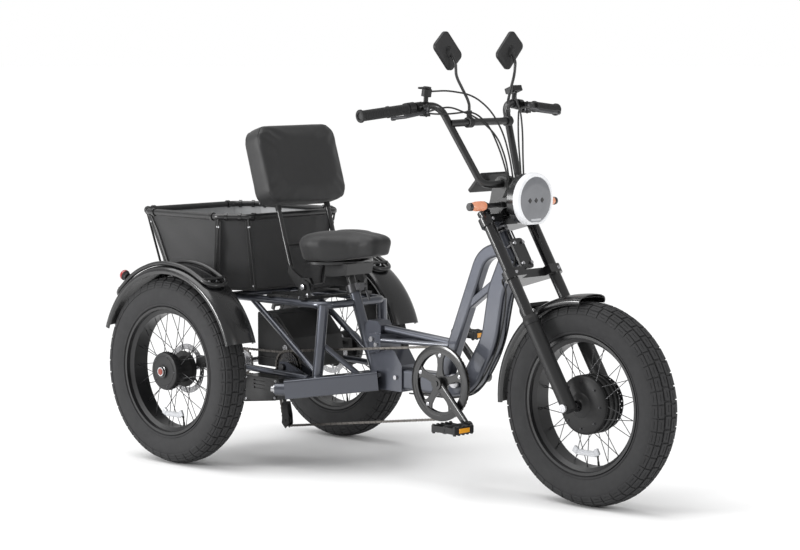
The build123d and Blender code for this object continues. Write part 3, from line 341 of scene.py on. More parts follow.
def tidy(obj, angle=40):
    """Merges doubles, turns the faces outwards and smooths all but the sharp edges."""
    edit(obj, "VERT")
    bpy.ops.mesh.remove_doubles(threshold=0.00002)
    bpy.ops.mesh.normals_make_consistent(inside=False)
    done()
    bpy.ops.object.shade_smooth_by_angle(angle=radians(angle))
    return obj


def joined(name, parts):
    """Joins several objects into one."""
    deselect()
    for part in parts:
        part.select_set(True)
    bpy.context.view_layer.objects.active = parts[0]
    if len(parts) > 1:
        bpy.ops.object.join()
    parts[0].name = name
    return parts[0]


def copied(obj, centre=(0, 0, 0), turn=None):
    """A copy with its own mesh, turned about the origin and moved."""
    twin = obj.copy()
    twin.data = obj.data.copy()
    bpy.context.collection.objects.link(twin)
    return stand(twin, Vector(centre), turn)


def facing(direction, spin=0.0):
    """The turn that takes +Z to a direction."""
    return Vector(direction).to_track_quat("Z", "Y").to_matrix() @ Matrix.Rotation(spin, 3, "Z")


def turned(profile, centre, direction=(0, 1, 0), sides=64, closed=False):
    """A lathe-turned shape: a circle drawn out along its axis and resized at each (along, radius) step."""
    start_along, start_radius = profile[0]
    deselect()
    bpy.ops.mesh.primitive_circle_add(vertices=sides, radius=start_radius, location=(0, 0, start_along),
                                      fill_type="NOTHING" if closed else "NGON")
    obj = settle(fresh())
    edit(obj, "VERT")
    before_along, before_radius = start_along, start_radius
    for along, radius in list(profile[1:]) + ([profile[0]] if closed else []):
        step = {"value": (0, 0, along - before_along)}
        bpy.ops.mesh.extrude_region_move(TRANSFORM_OT_translate=step)
        grow = radius / before_radius
        bpy.ops.transform.resize(value=(grow, grow, 1), center_override=(0, 0, along))
        before_along, before_radius = along, radius
    done()
    tidy(obj, 32)
    return stand(obj, Vector(centre), facing(direction))


def slab(size, centre, turn=None, round_off=0.0015, steps=2):
    """A block with rounded edges."""
    deselect()
    bpy.ops.mesh.primitive_cube_add(size=1)
    obj = fresh()
    obj.scale = size
    settle(obj)
    modify(obj, "BEVEL", width=round_off, segments=steps, limit_method="ANGLE")
    return stand(obj, Vector(centre), turn)


def outline(points, thick, place, round_off=0.0, steps=2):
    """A flat piece with a given outline in its own X and Y, drawn up along its Z and then placed."""
    deselect()
    bpy.ops.mesh.primitive_circle_add(vertices=len(points), radius=1, fill_type="NGON")
    obj = fresh()
    for corner, (x, y) in zip(obj.data.vertices, points):
        corner.co = (x, y, 0)
    edit(obj)
    bpy.ops.mesh.extrude_region_move(TRANSFORM_OT_translate={"value": (0, 0, thick)})
    done()
    tidy(obj)
    if round_off:
        modify(obj, "BEVEL", width=round_off, segments=steps, limit_method="ANGLE")
    obj.matrix_world = place
    return settle(obj)


def wire(points, radius, smooth=True, closed=False, sides=3):
    """A round wire or tube along points."""
    deselect()
    bpy.ops.curve.primitive_bezier_curve_add()
    obj = fresh()
    curve = obj.data
    curve.splines.clear()
    line = curve.splines.new("NURBS" if smooth else "POLY")
    line.points.add(len(points) - 1)
    for spot, point in zip(line.points, points):
        spot.co = (*point, 1)
    if smooth:
        line.order_u = 3
        line.use_endpoint_u = not closed
    line.use_cyclic_u = closed
    curve.resolution_u = 8
    curve.bevel_depth = radius
    curve.bevel_resolution = sides
    curve.use_fill_caps = True
    obj.location = (0, 0, 0)
    only(obj)
    bpy.ops.object.convert(target="MESH")
    obj = fresh()
    return tidy(settle(obj), 60)


def stud(centre, direction, radius, height, sides=6, washer=1.45):
    """A bolt head with a washer under it."""
    head = turned([(0.0, radius * 0.98), (height * 0.8, radius), (height, radius * 0.82)], (0, 0, 0), (0, 0, 1), sides)
    under = turned([(-height * 0.3, radius * washer), (0.0, radius * washer), (height * 0.08, radius * washer * 0.9)],
                   (0, 0, 0), (0, 0, 1), 20)
    return stand(joined("stud", [head, under]), Vector(centre), facing(direction))


def around(obj, centre, count, start=0.0, axis="Y"):
    """Copies of a piece at equal turns about an axis through a point, the first being the piece itself."""
    centre = Vector(centre)
    made = []
    for index in range(count):
        turn = Matrix.Rotation(start + tau * index / count, 3, axis)
        made.append(copied(obj, centre - turn @ centre, turn))
    bpy.data.objects.remove(obj)
    return made


def finished(obj, name, finish, body, slot, *replaced):
    """Names a piece, gives it its finish, hangs it on the body it rides on and hides the parts it stands for."""
    obj.name = name
    obj.data.name = name
    if not obj.data.materials:
        obj.data.materials.append(FINISHES[finish])
    for index in range(len(obj.data.materials)):
        if obj.data.materials[index] is None:
            obj.data.materials[index] = FINISHES[finish]
    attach(obj, body)
    if replaced:
        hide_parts(*replaced)
    return obj


def coat(obj, finish):
    """Gives every face of a piece one finish, before it is joined to others."""
    obj.data.materials.clear()
    obj.data.materials.append(FINISHES[finish])
    return obj


# --------------------------------------------------------------------- settings


class TrikeColours(bpy.types.PropertyGroup):
    """The colours of the main finishes."""

    paint: bpy.props.FloatVectorProperty(
        name="Frame Paint", description="Metallic paint of the frame", subtype="COLOR", size=3,
        default=(0.070, 0.075, 0.092), min=0, max=1)
    tyre: bpy.props.FloatVectorProperty(
        name="Tyre Rubber", description="Rubber of the tyres", subtype="COLOR", size=3,
        default=(0.020, 0.020, 0.021), min=0, max=1)
    vinyl: bpy.props.FloatVectorProperty(
        name="Seat Vinyl", description="Vinyl of the saddle and backrest", subtype="COLOR", size=3,
        default=(0.013, 0.013, 0.0135), min=0, max=1)
    basket: bpy.props.FloatVectorProperty(
        name="Basket Cloth", description="Coated cloth of the basket", subtype="COLOR", size=3,
        default=(0.017, 0.017, 0.018), min=0, max=1)


class TrikeSizes(bpy.types.PropertyGroup):
    """Sizes that a user would change."""

    tread_rows: bpy.props.IntProperty(
        name="Tread Rows", description="Rows of tread blocks round each tyre", default=46, min=20, max=60)
    tread_gap: bpy.props.FloatProperty(
        name="Tread Gap", description="Width of the grooves between tread blocks",
        default=0.0052, min=0.002, max=0.01, unit="LENGTH")
    saddle_swell: bpy.props.FloatProperty(
        name="Saddle Swell", description="How far the saddle's cover may swell",
        default=0.009, min=0.0, max=0.02, unit="LENGTH")
    pad_swell: bpy.props.FloatProperty(
        name="Backrest Swell", description="How far the backrest's cover may swell",
        default=0.010, min=0.0, max=0.02, unit="LENGTH")
    strap_width: bpy.props.FloatProperty(
        name="Strap Width", description="Width of the straps on the basket's corners",
        default=0.020, min=0.01, max=0.04, unit="LENGTH")


def colours():
    """The colours in use."""
    return bpy.context.scene.trike_colours


def sizes():
    """The sizes in use."""
    return bpy.context.scene.trike_sizes


# --------------------------------------------------------------------- finishes

NODE_FINISHES = {
    "Gunmetal Paint": ["front_frame", "rear_frame"],
    "Satin Black": ["handlebar", "basket_rim", "fender_guards", "seat_post", "backrest_frame",
                    "bar_clamp", "seat_carrier", "saddle_pan", "controller_box"],
    "Matte Black": ["fork_lower", "bar_controls", "display", "derailleur",
                    "rear_calipers", "battery_case"],
    "Gloss Black": ["headlight_shell", "cranks", "fork_upper"],
    "Bright Steel": ["frame_bolts", "battery_lock", "rear_axle", "front_axle", "frame_bearings"],
    "Dark Steel": ["jack_shaft", "seat_clamp", "seat_lever", "brake_lever_right", "brake_lever_left"],
    "Grip Rubber": ["shift_lever", "jockey_wheel"],
    "Cable Jacket": ["bar_cables", "frame_cables"],
}


class TRIKE_OT_finishes(bpy.types.Operator):
    """Mixes the finishes and paints the frame's own pieces with them"""

    bl_idname = "trike.finishes"
    bl_label = "Finishes"

    def execute(self, context):
        shades = colours()
        painted("Gunmetal Paint", shades.paint, 0.34, 0.72, 0.7)
        painted("Satin Black", (0.007, 0.007, 0.0075), 0.34, 0.0, 0.35)
        painted("Gloss Black", (0.006, 0.006, 0.0065), 0.24, 0.0, 0.5)
        moulded("Matte Black", (0.010, 0.010, 0.0105), 0.48, 900, specular_ior_level=0.4)
        moulded("Grip Rubber", (0.013, 0.013, 0.0135), 0.64, 1500, specular_ior_level=0.4)
        moulded("Cable Jacket", (0.008, 0.008, 0.008), 0.42, 2500)
        moulded("Dark Liner", (0.34, 0.345, 0.36), 0.7, 1200)
        moulded("White Ring", (0.82, 0.83, 0.85), 0.36, 2200, coat_weight=0.3)
        moulded("Amber Lens", (0.72, 0.30, 0.17), 0.24, 800, coat_weight=0.6)
        moulded("Red Lens", (0.30, 0.012, 0.012), 0.22, 800, coat_weight=0.6)
        moulded("Yellow Reflector", (0.85, 0.36, 0.015), 0.3, 700, coat_weight=0.5)
        moulded("Clear Reflector", (0.46, 0.47, 0.49), 0.22, 420, coat_weight=0.6)
        moulded("Copper Cap", (0.22, 0.035, 0.02), 0.35, 2000)
        metal("Bright Steel", (0.62, 0.62, 0.64), 0.24)
        metal("Dark Steel", (0.10, 0.10, 0.105), 0.34)
        metal("Chain Steel", (0.16, 0.15, 0.14), 0.36)
        metal("Rotor Steel", (0.36, 0.36, 0.37), 0.3, (700, 60, 700))
        metal("Mirror Glass", (0.72, 0.75, 0.79), 0.06, (2, 2, 2))
        vinyl("Seat Vinyl", shades.vinyl)
        woven("Basket Cloth", shades.basket)
        woven("Basket Corner", scaled(shades.basket, 0.8))
        woven("Basket Inside", (0.36, 0.365, 0.37))
        woven("Strap Webbing", (0.006, 0.006, 0.0065), 900)
        self.tyre_rubber(shades.tyre)
        self.lamp_face()
        self.two_tone("Rim and Spokes")
        for finish, names in NODE_FINISHES.items():
            for name in names:
                coat(NODES[name], finish)
        for name in ("front", "right", "left"):
            coat(NODES[f"rim_{name}"], f"Rim and Spokes {name}")
        return {"FINISHED"}

    def tyre_rubber(self, colour):
        """Tyre rubber: dusty mottle and a fine cast grain."""
        finish = Finish("Tyre Rubber", colour, 0.82)
        cloud = finish.noise(16, 6)
        finish.tint(cloud, scaled(colour, 0.75), scaled(colour, 1.35))
        finish.set("Roughness", finish.ranged(finish.noise(60, 4), 0.72, 0.92))
        finish.bump(finish.noise(700, 3) + cloud * 0.4, 0.3, 0.0005)
        FINISHES["Tyre Rubber"] = finish.material

    def two_tone(self, name):
        """Black rims with bright spokes, told apart by how far out they are."""
        for wheel, centre in WHEEL_CENTRES.items():
            finish = Finish(f"{name} {wheel}", (0.02, 0.02, 0.02), 0.36, coat_weight=0.1)
            spoke = radius_from(finish, centre).below(0.1835)
            cloud = finish.noise(20, 3)
            black = finish.mix(cloud, (0.006, 0.006, 0.0065, 1), (0.011, 0.011, 0.012, 1))
            finish.set("Base Color", finish.mix(spoke, black, (0.055, 0.055, 0.057, 1)))
            finish.set("Metallic", spoke * 0.9)
            finish.set("Roughness", finish.ranged(cloud, 0.32, 0.42) - spoke * 0.1)
            finish.bump(finish.noise(300, 2), 0.1, 0.0002)
            FINISHES[f"{name} {wheel}"] = finish.material

    def lamp_face(self):
        """The lamp's grey face: fine upright ribs in clear plastic over a pale bowl."""
        finish = Finish("Lamp Face", (0.16, 0.165, 0.18), 0.16, coat_weight=0.8, coat_roughness=0.05)
        ribs = (finish.axis(1) * 1400).math("SINE") * 0.5 + 0.5
        finish.tint(finish.noise(11, 3), (0.10, 0.105, 0.115), (0.22, 0.225, 0.24))
        finish.set("Roughness", finish.ranged(finish.noise(40, 2), 0.12, 0.24))
        finish.bump(ribs, 0.15, 0.0006)
        FINISHES["Lamp Face"] = finish.material


# ----------------------------------------------------------------------- tyres

TYRE_CARCASS = [(-38, 206), (-44, 212), (-45, 218), (-48, 226), (-51, 243), (-50.5, 260), (-47.5, 273), (-38, 286),
                (-19, 293.6), (0, 296), (19, 293.6), (38, 286), (47.5, 273), (50.5, 260), (51, 243), (48, 226),
                (45, 218), (44, 212), (38, 206)]
# across, top radius, lean from upright, width, share of the pitch, height, start as a share of the pitch
TREAD_COLUMNS = [(-12.5, 299.0, -6, 23, 1.0, 8, 0.0), (12.5, 299.0, 6, 23, 1.0, 8, 0.22),
                 (-34.5, 291.6, -25, 20, 1.0, 8, 0.22), (34.5, 291.6, 25, 20, 1.0, 8, 0.0),
                 (-47.6, 276.0, -62, 20, 1.0, 8, 0.22), (47.6, 276.0, 62, 20, 1.0, 8, 0.0)]


class TRIKE_OT_tyres(bpy.types.Operator):
    """Makes a fat tyre with rows of tread blocks, and a copy of it for each wheel"""

    bl_idname = "trike.tyres"
    bl_label = "Tyres"

    def execute(self, context):
        rows = sizes().tread_rows
        gap = sizes().tread_gap
        carcass = turned([(w * MM, r * MM) for w, r in TYRE_CARCASS], (0, 0, 0), sides=120, closed=True)
        pitch = tau * WHEEL_R / rows
        blocks = []
        for across, top, lean, width, share, height, start in TREAD_COLUMNS:
            length = (pitch * share - gap) if share == 1 else pitch * share
            lean_turn = Matrix.Rotation(-radians(lean), 3, "X")
            normal = lean_turn @ Vector((0, 0, 1))
            centre = Vector((0, across, top)) * MM - normal * (height * MM * 0.5)
            block = slab((length, width * MM - gap * 0.55, height * MM), (0, 0, 0), None, 0.0012, 1)
            edit(block)
            pick(block, lambda face: face.normal.z > 0.9 and face.calc_area() > 0.0002)
            bpy.ops.mesh.inset(thickness=0.0065, depth=0)
            bpy.ops.mesh.inset(thickness=0.0008, depth=-0.0016)
            done()
            stand(block, centre, lean_turn)
            turn = Matrix.Rotation(tau * start / rows, 3, "Y")
            stand(block, Vector(), turn)
            blocks.append(block)
        row = joined("tread", blocks)
        edit(row)
        bpy.ops.mesh.spin(steps=rows - 1, dupli=True, angle=tau * (rows - 1) / rows, center=(0, 0, 0), axis=(0, 1, 0))
        done()
        only(row)
        bpy.ops.object.shade_smooth_by_angle(angle=radians(30))
        bead = turned([(-44.5 * MM, 210 * MM), (-46.5 * MM, 212 * MM), (-46.5 * MM, 215 * MM), (-44 * MM, 217 * MM)],
                      (0, 0, 0), sides=96, closed=True)
        bead_far = copied(bead, (0, 0, 0), Matrix.Rotation(pi, 3, "Z"))
        tyre = joined("tyre", [carcass, row, bead, bead_far])
        for wheel, centre in WHEEL_CENTRES.items():
            twin = copied(tyre, centre)
            finished(twin, f"fat_tyre_{wheel}", "Tyre Rubber", WHEEL_BODIES[wheel], "tyre", f"tyre_{wheel}")
        bpy.data.objects.remove(tyre)
        return {"FINISHED"}


# ----------------------------------------------------------- hubs and reflectors

ROTOR_THICK = 0.0018


def brake_rotor(centre, side):
    """A drilled brake disc with its spider arms."""
    ring = turned([(0, 0.062), (0, 0.080), (ROTOR_THICK, 0.080), (ROTOR_THICK, 0.062)], (0, 0, 0), sides=96, closed=True)
    holes = []
    for radius, count, start in ((0.067, 24, 0.0), (0.0745, 24, 0.13)):
        for index in range(count):
            angle = start + tau * index / count
            spot = Vector((cos(angle) * radius, ROTOR_THICK / 2, sin(angle) * radius))
            holes.append(turned([(-0.004, 0.0021), (0.004, 0.0021)], spot, sides=10))
    cutter = joined("holes", holes)
    modify(ring, "BOOLEAN", operation="DIFFERENCE", object=cutter, solver="EXACT")
    bpy.data.objects.remove(cutter)
    arm = slab((0.046, ROTOR_THICK, 0.007), (0.041, ROTOR_THICK / 2, 0), None, 0.0006)
    stand(arm, Vector(), Matrix.Rotation(0.35, 3, "Y"))
    rotor = joined("rotor", [ring] + around(arm, (0, 0, 0), 6))
    coat(tidy(rotor, 30), "Rotor Steel")
    return stand(rotor, Vector(centre), Matrix.Rotation(pi, 3, "Z") if side < 0 else None)


class TRIKE_OT_hubs(bpy.types.Operator):
    """Makes the hubs, their brake discs, the spoke reflectors and the valves"""

    bl_idname = "trike.hubs"
    bl_label = "Hubs and Reflectors"

    def execute(self, context):
        self.motor()
        for wheel, side in (("right", -1), ("left", 1)):
            self.rear_hub(wheel, side)
        for wheel, centre in WHEEL_CENTRES.items():
            self.reflector(wheel, centre)
        return {"FINISHED"}

    def motor(self):
        """The round motor in the front wheel, with a ring of screws on each side."""
        centre = WHEEL_CENTRES["front"]
        drum = [(-0.054, 0.0085), (-0.054, 0.014), (-0.051, 0.016), (-0.048, 0.022), (-0.046, 0.034), (-0.0435, 0.037),
                (-0.0415, 0.062), (-0.037, 0.080), (-0.034, 0.0845), (-0.031, 0.087), (-0.027, 0.088), (-0.0265, 0.084),
                (-0.0155, 0.084), (-0.015, 0.088), (-0.009, 0.088), (-0.008, 0.084), (0.008, 0.084), (0.009, 0.088),
                (0.015, 0.088), (0.0155, 0.084), (0.0265, 0.084), (0.027, 0.088), (0.031, 0.087), (0.036, 0.083),
                (0.042, 0.062), (0.046, 0.036), (0.049, 0.026), (0.060, 0.022), (0.060, 0.0085)]
        body = coat(turned(drum, centre, sides=96, closed=True), "Matte Black")
        parts = [body, brake_rotor(centre + LEFT * 0.0550, 1)]
        for side, along, ring, count in ((-1, 0.0415, 0.069, 8), (1, 0.0405, 0.070, 8), (1, 0.0572, 0.020, 6)):
            screw = coat(stud((ring, side * along, 0), (0, side, 0), 0.0024, 0.003), "Dark Steel")
            for twin in around(screw, (0, 0, 0), count):
                parts.append(stand(twin, centre))
        for index in range(3):
            coil = turned([(-0.0015, 0.0125), (-0.0015, 0.0165), (0.0015, 0.0165), (0.0015, 0.0125)],
                          centre - LEFT * (0.0575 + 0.0045 * index), sides=32, closed=True)
            parts.append(coat(coil, "Gloss Black"))
        finished(joined("motor", parts), "hub_motor", "Matte Black", "front_wheel", "hub", "hub_front")

    def rear_hub(self, wheel, side):
        """A rear hub: a ribbed barrel between two spoke flanges, a stepped cap, a brake disc and a cap nut."""
        centre = WHEEL_CENTRES[wheel]
        barrel = [(-0.052, 0.0093), (-0.052, 0.022), (-0.041, 0.024), (-0.040, 0.044), (-0.036, 0.057), (-0.034, 0.058),
                  (-0.030, 0.058), (-0.029, 0.042), (-0.018, 0.036), (0.012, 0.036), (0.020, 0.042), (0.024, 0.058),
                  (0.030, 0.059), (0.031, 0.0605), (0.050, 0.0605), (0.0525, 0.0590), (0.0535, 0.0560), (0.0538, 0.0500),
                  (0.0530, 0.0490), (0.0530, 0.0470), (0.0540, 0.0460), (0.0555, 0.0240), (0.0580, 0.0220), (0.058, 0.0093)]
        body = turned(barrel, (0, 0, 0), sides=72, closed=True)
        parts = [coat(stand(body, centre, Matrix.Rotation(pi, 3, "Z") if side < 0 else None), "Matte Black")]
        for index in range(24):
            angle = tau * index / 24
            rib = slab((0.004, 0.013, 0.003), (0, 0.0385, 0.0608), None, 0.0008, 1)
            stand(rib, Vector(), Matrix.Rotation(angle, 3, "Y"))
            rib = stand(rib, centre, Matrix.Rotation(pi, 3, "Z") if side < 0 else None)
            parts.append(coat(rib, "Matte Black"))
        parts.append(brake_rotor(centre - LEFT * (side * 0.0470), side))
        screw = coat(stud((0.050, side * 0.0542, 0), (0, side, 0), 0.0026, 0.0028), "Dark Steel")
        parts += [stand(twin, centre) for twin in around(screw, (0, 0, 0), 5)]
        finished(joined("hub", parts), f"rear_hub_{wheel}", "Matte Black", WHEEL_BODIES[wheel], "hub", f"hub_{wheel}")
        end = centre + LEFT * (side * 0.0600)
        nut = coat(turned([(0, 0.019), (0.003, 0.020), (0.004, 0.0165), (0.0075, 0.0155), (0.0085, 0.010)], end, (0, side, 0), 32),
                   "Gloss Black")
        hexagon = coat(turned([(0.0, 0.0115), (0.0095, 0.0115), (0.0105, 0.0100)], end, (0, side, 0), 6), "Copper Cap")
        finished(joined("cap", [nut, hexagon]), f"hub_cap_{wheel}", "Copper Cap", WHEEL_BODIES[wheel], "steel")

    def reflector(self, wheel, centre):
        """A clear reflector clipped between the spokes at the bottom of the wheel, and the tyre's valve."""
        side = 1 if wheel == "left" else -1
        bar = slab((0.074, 0.007, 0.017), (0, 0, 0), None, 0.003)
        edit(bar)
        pick(bar, lambda face: abs(face.normal.y) > 0.9 and face.calc_area() > 0.0005)
        bpy.ops.mesh.inset(thickness=0.0025, depth=-0.001)
        done()
        ends = [slab((0.017, 0.009, 0.021), (x * 0.040, 0, 0.006), Matrix.Rotation(-x * 0.5, 3, "Y"), 0.003) for x in (-1, 1)]
        clear = coat(joined("reflector", [bar] + ends), "Clear Reflector")
        stand(clear, centre + Vector((0.004, side * 0.020, -0.142)))
        stem = coat(turned([(0, 0.0035), (0.012, 0.0035), (0.014, 0.0026), (0.026, 0.0026), (0.028, 0.0036), (0.034, 0.0032)],
                           centre + Vector((0.035, 0, -0.180)), (-0.15, 0, 1), 16), "Matte Black")
        finished(joined("reflector", [clear, stem]), f"spoke_reflector_{wheel}", "Clear Reflector",
                 WHEEL_BODIES[wheel], "rim")


# --------------------------------------------------------------------- cushions

VOXEL = 0.005
PRESSURE = 4.0
SIM_FRAMES = 20


def stuffed(obj, limit, hold):
    """Fills a closed cover with air as cloth, keeps each point within a limit, and smooths it."""
    modify(obj, "REMESH", mode="VOXEL", voxel_size=VOXEL)
    before = [point.co.copy() for point in obj.data.vertices]
    only(obj)
    held = obj.vertex_groups.new(name="held")
    held.add([i for i, spot in enumerate(before) if hold(spot)], 1.0, "REPLACE")
    cloth = obj.modifiers.new("Cloth", "CLOTH")
    cloth.settings.quality = 5
    cloth.settings.mass = 0.3
    cloth.settings.tension_stiffness = 30
    cloth.settings.compression_stiffness = 30
    cloth.settings.bending_stiffness = 12
    cloth.settings.use_pressure = True
    cloth.settings.uniform_pressure_force = PRESSURE
    cloth.settings.vertex_group_mass = "held"
    cloth.settings.effector_weights.gravity = 0
    cloth.point_cache.frame_start = 1
    cloth.point_cache.frame_end = SIM_FRAMES
    for step in range(1, SIM_FRAMES + 1):
        bpy.context.scene.frame_set(step)
    bpy.ops.object.modifier_apply(modifier="Cloth")
    bpy.context.scene.frame_set(1)
    obj.vertex_groups.clear()
    for point, old in zip(obj.data.vertices, before):
        move = point.co - old
        if move.length > limit:
            point.co = old + move * (limit / move.length)
    modify(obj, "SMOOTH", factor=0.5, iterations=14)
    modify(obj, "SUBSURF", levels=1, render_levels=1)
    only(obj)
    bpy.ops.object.shade_smooth()
    return obj


def saddle_outline(scale=1.0):
    """The saddle seen from above: two wide lobes that narrow to a blunt nose, in millimetres from the rear axle."""
    half = [(294, 0), (286, 40), (288, 88), (304, 124), (334, 143), (372, 147), (410, 136), (450, 109), (490, 80),
            (526, 60), (556, 52), (572, 44), (579, 28)]
    whole = half + [(x, -y) for x, y in reversed(half[1:])]
    return [(440 + (x - 440) * scale, y * scale) for x, y in whole]


class TRIKE_OT_saddle(bpy.types.Operator):
    """Makes the wide saddle: a stuffed vinyl cover with a groove between its lobes and a raised nose"""

    bl_idname = "trike.saddle"
    bl_label = "Saddle"

    def execute(self, context):
        low, high = 0.659, 0.752
        points = [(x * MM, y * MM) for x, y in saddle_outline(0.965)]
        pad = outline(points, (high - low) * 0.56, Matrix.Translation((REAR_AXLE_X, 0, low)))
        edit(pad)
        middle = at(430, 0, 700)
        for rise, grow in ((0.017, 0.965), (0.011, 0.90), (0.006, 0.80)):
            pick(pad, lambda face: face.normal.z > 0.9 and len(face.verts) > 8)
            bpy.ops.mesh.extrude_region_move(TRANSFORM_OT_translate={"value": (0, 0, rise)})
            bpy.ops.transform.resize(value=(grow, grow, 1), center_override=middle)
        pick(pad, lambda face: face.normal.z < -0.9 and len(face.verts) > 8)
        bpy.ops.transform.resize(value=(0.93, 0.90, 1), center_override=middle)
        done()
        stuffed(pad, sizes().saddle_swell, lambda spot: spot.z < low + 0.004)
        for point in pad.data.vertices:
            spot = point.co
            along = min(1.0, max(0.0, (spot.x - at(300, 0, 0).x) / 0.29))
            groove = max(0.0, 1 - abs(spot.y) / 0.034) ** 2 * (1 - along)
            height = min(1.0, max(0.0, (spot.z - low) / (high - low)))
            spot.z += 0.026 * max(0.0, along - 0.45) / 0.55 * (1 - height)
            if height > 0.4:
                spot.z -= 0.014 * groove
        finished(pad, "saddle_cover", "Seat Vinyl", "seat", "vinyl", "saddle")
        return {"FINISHED"}


class TRIKE_OT_backrest(bpy.types.Operator):
    """Makes the stuffed backrest with its boxed border and a seam round its front and back"""

    bl_idname = "trike.backrest"
    bl_label = "Backrest"

    def execute(self, context):
        lean = radians(17)
        centre = at(170, 0, 951)
        place = Matrix.Translation(centre) @ Matrix.Rotation(-lean, 4, "Y") @ Matrix.Rotation(pi / 2, 4, "Y")
        width, height, thick = 0.344, 0.258, 0.074
        round_corner = 0.050
        corners = []
        for sx, sy, start in ((1, 1, 0), (-1, 1, 90), (-1, -1, 180), (1, -1, 270)):
            for step in range(0, 91, 15):
                angle = radians(start + step)
                corners.append((sx * (height / 2 - round_corner) + round_corner * cos(angle),
                                sy * (width / 2 - round_corner) + round_corner * sin(angle)))
        pad = outline(corners, thick, place @ Matrix.Translation((0, 0, -thick / 2)))
        forward = place.to_3x3() @ Vector((0, 0, 1))
        edit(pad)
        for sign in (1, -1):
            pick(pad, lambda face: face.normal.dot(forward) * sign > 0.9 and len(face.verts) > 8)
            bpy.ops.mesh.inset(thickness=0.007, depth=0.004)
            bpy.ops.mesh.inset(thickness=0.030, depth=0.004)
        done()
        stuffed(pad, sizes().pad_swell, lambda spot: abs((spot - centre).dot(forward)) < 0.020)
        finished(pad, "backrest_cover", "Seat Vinyl", "backrest", "vinyl", "backrest_pad")
        piping = []
        for sign in (1, -1):
            ring = [place @ Vector((x * 0.992, y * 0.994, sign * (thick / 2 - 0.002))) for x, y in corners]
            piping.append(self.on_surface(pad, ring, centre))
        seam = coat(joined("seam", piping), "Seat Vinyl")
        finished(seam, "backrest_seams", "Seat Vinyl", "backrest", "vinyl")
        sleeves = []
        for side in (-1, 1):
            foot = at(204, side * 109, 820)
            sleeves.append(coat(turned([(-0.010, 0.0085), (-0.009, 0.0098), (0.008, 0.0098), (0.018, 0.0098)],
                                       foot, at(180, 0, 900) - at(204, 0, 820), 32), "Grip Rubber"))
        finished(joined("sleeves", sleeves), "backrest_sleeves", "Grip Rubber", "backrest", "rubber")
        return {"FINISHED"}

    def on_surface(self, pad, ring, centre):
        """A piping wire laid on the pad where the ring's points look at it from the pad's middle."""
        spots = []
        for point in ring:
            found, spot, _, _ = pad.closest_point_on_mesh(point + (point - centre) * 0.4)
            spots.append(spot if found else point)
        return wire(spots, 0.0016, True, True)


# ---------------------------------------------------------------------- basket


def octagon(x_rear, x_front, half_width, cut_x, cut_y):
    """A rectangle with its corners cut off, in millimetres from the rear axle."""
    return [(x_rear, half_width - cut_y), (x_rear + cut_x, half_width), (x_front - cut_x, half_width),
            (x_front, half_width - cut_y), (x_front, cut_y - half_width), (x_front - cut_x, -half_width),
            (x_rear + cut_x, -half_width), (x_rear, cut_y - half_width)]


RIM_OUTLINE = octagon(-348, 150, 250, 78, 58)
BASE_OUTLINE = octagon(-300, 134, 214, 112, 62)
BASKET_LOW = 549.5
BASKET_TOP = 782
CLOTH_THICK = 0.0022


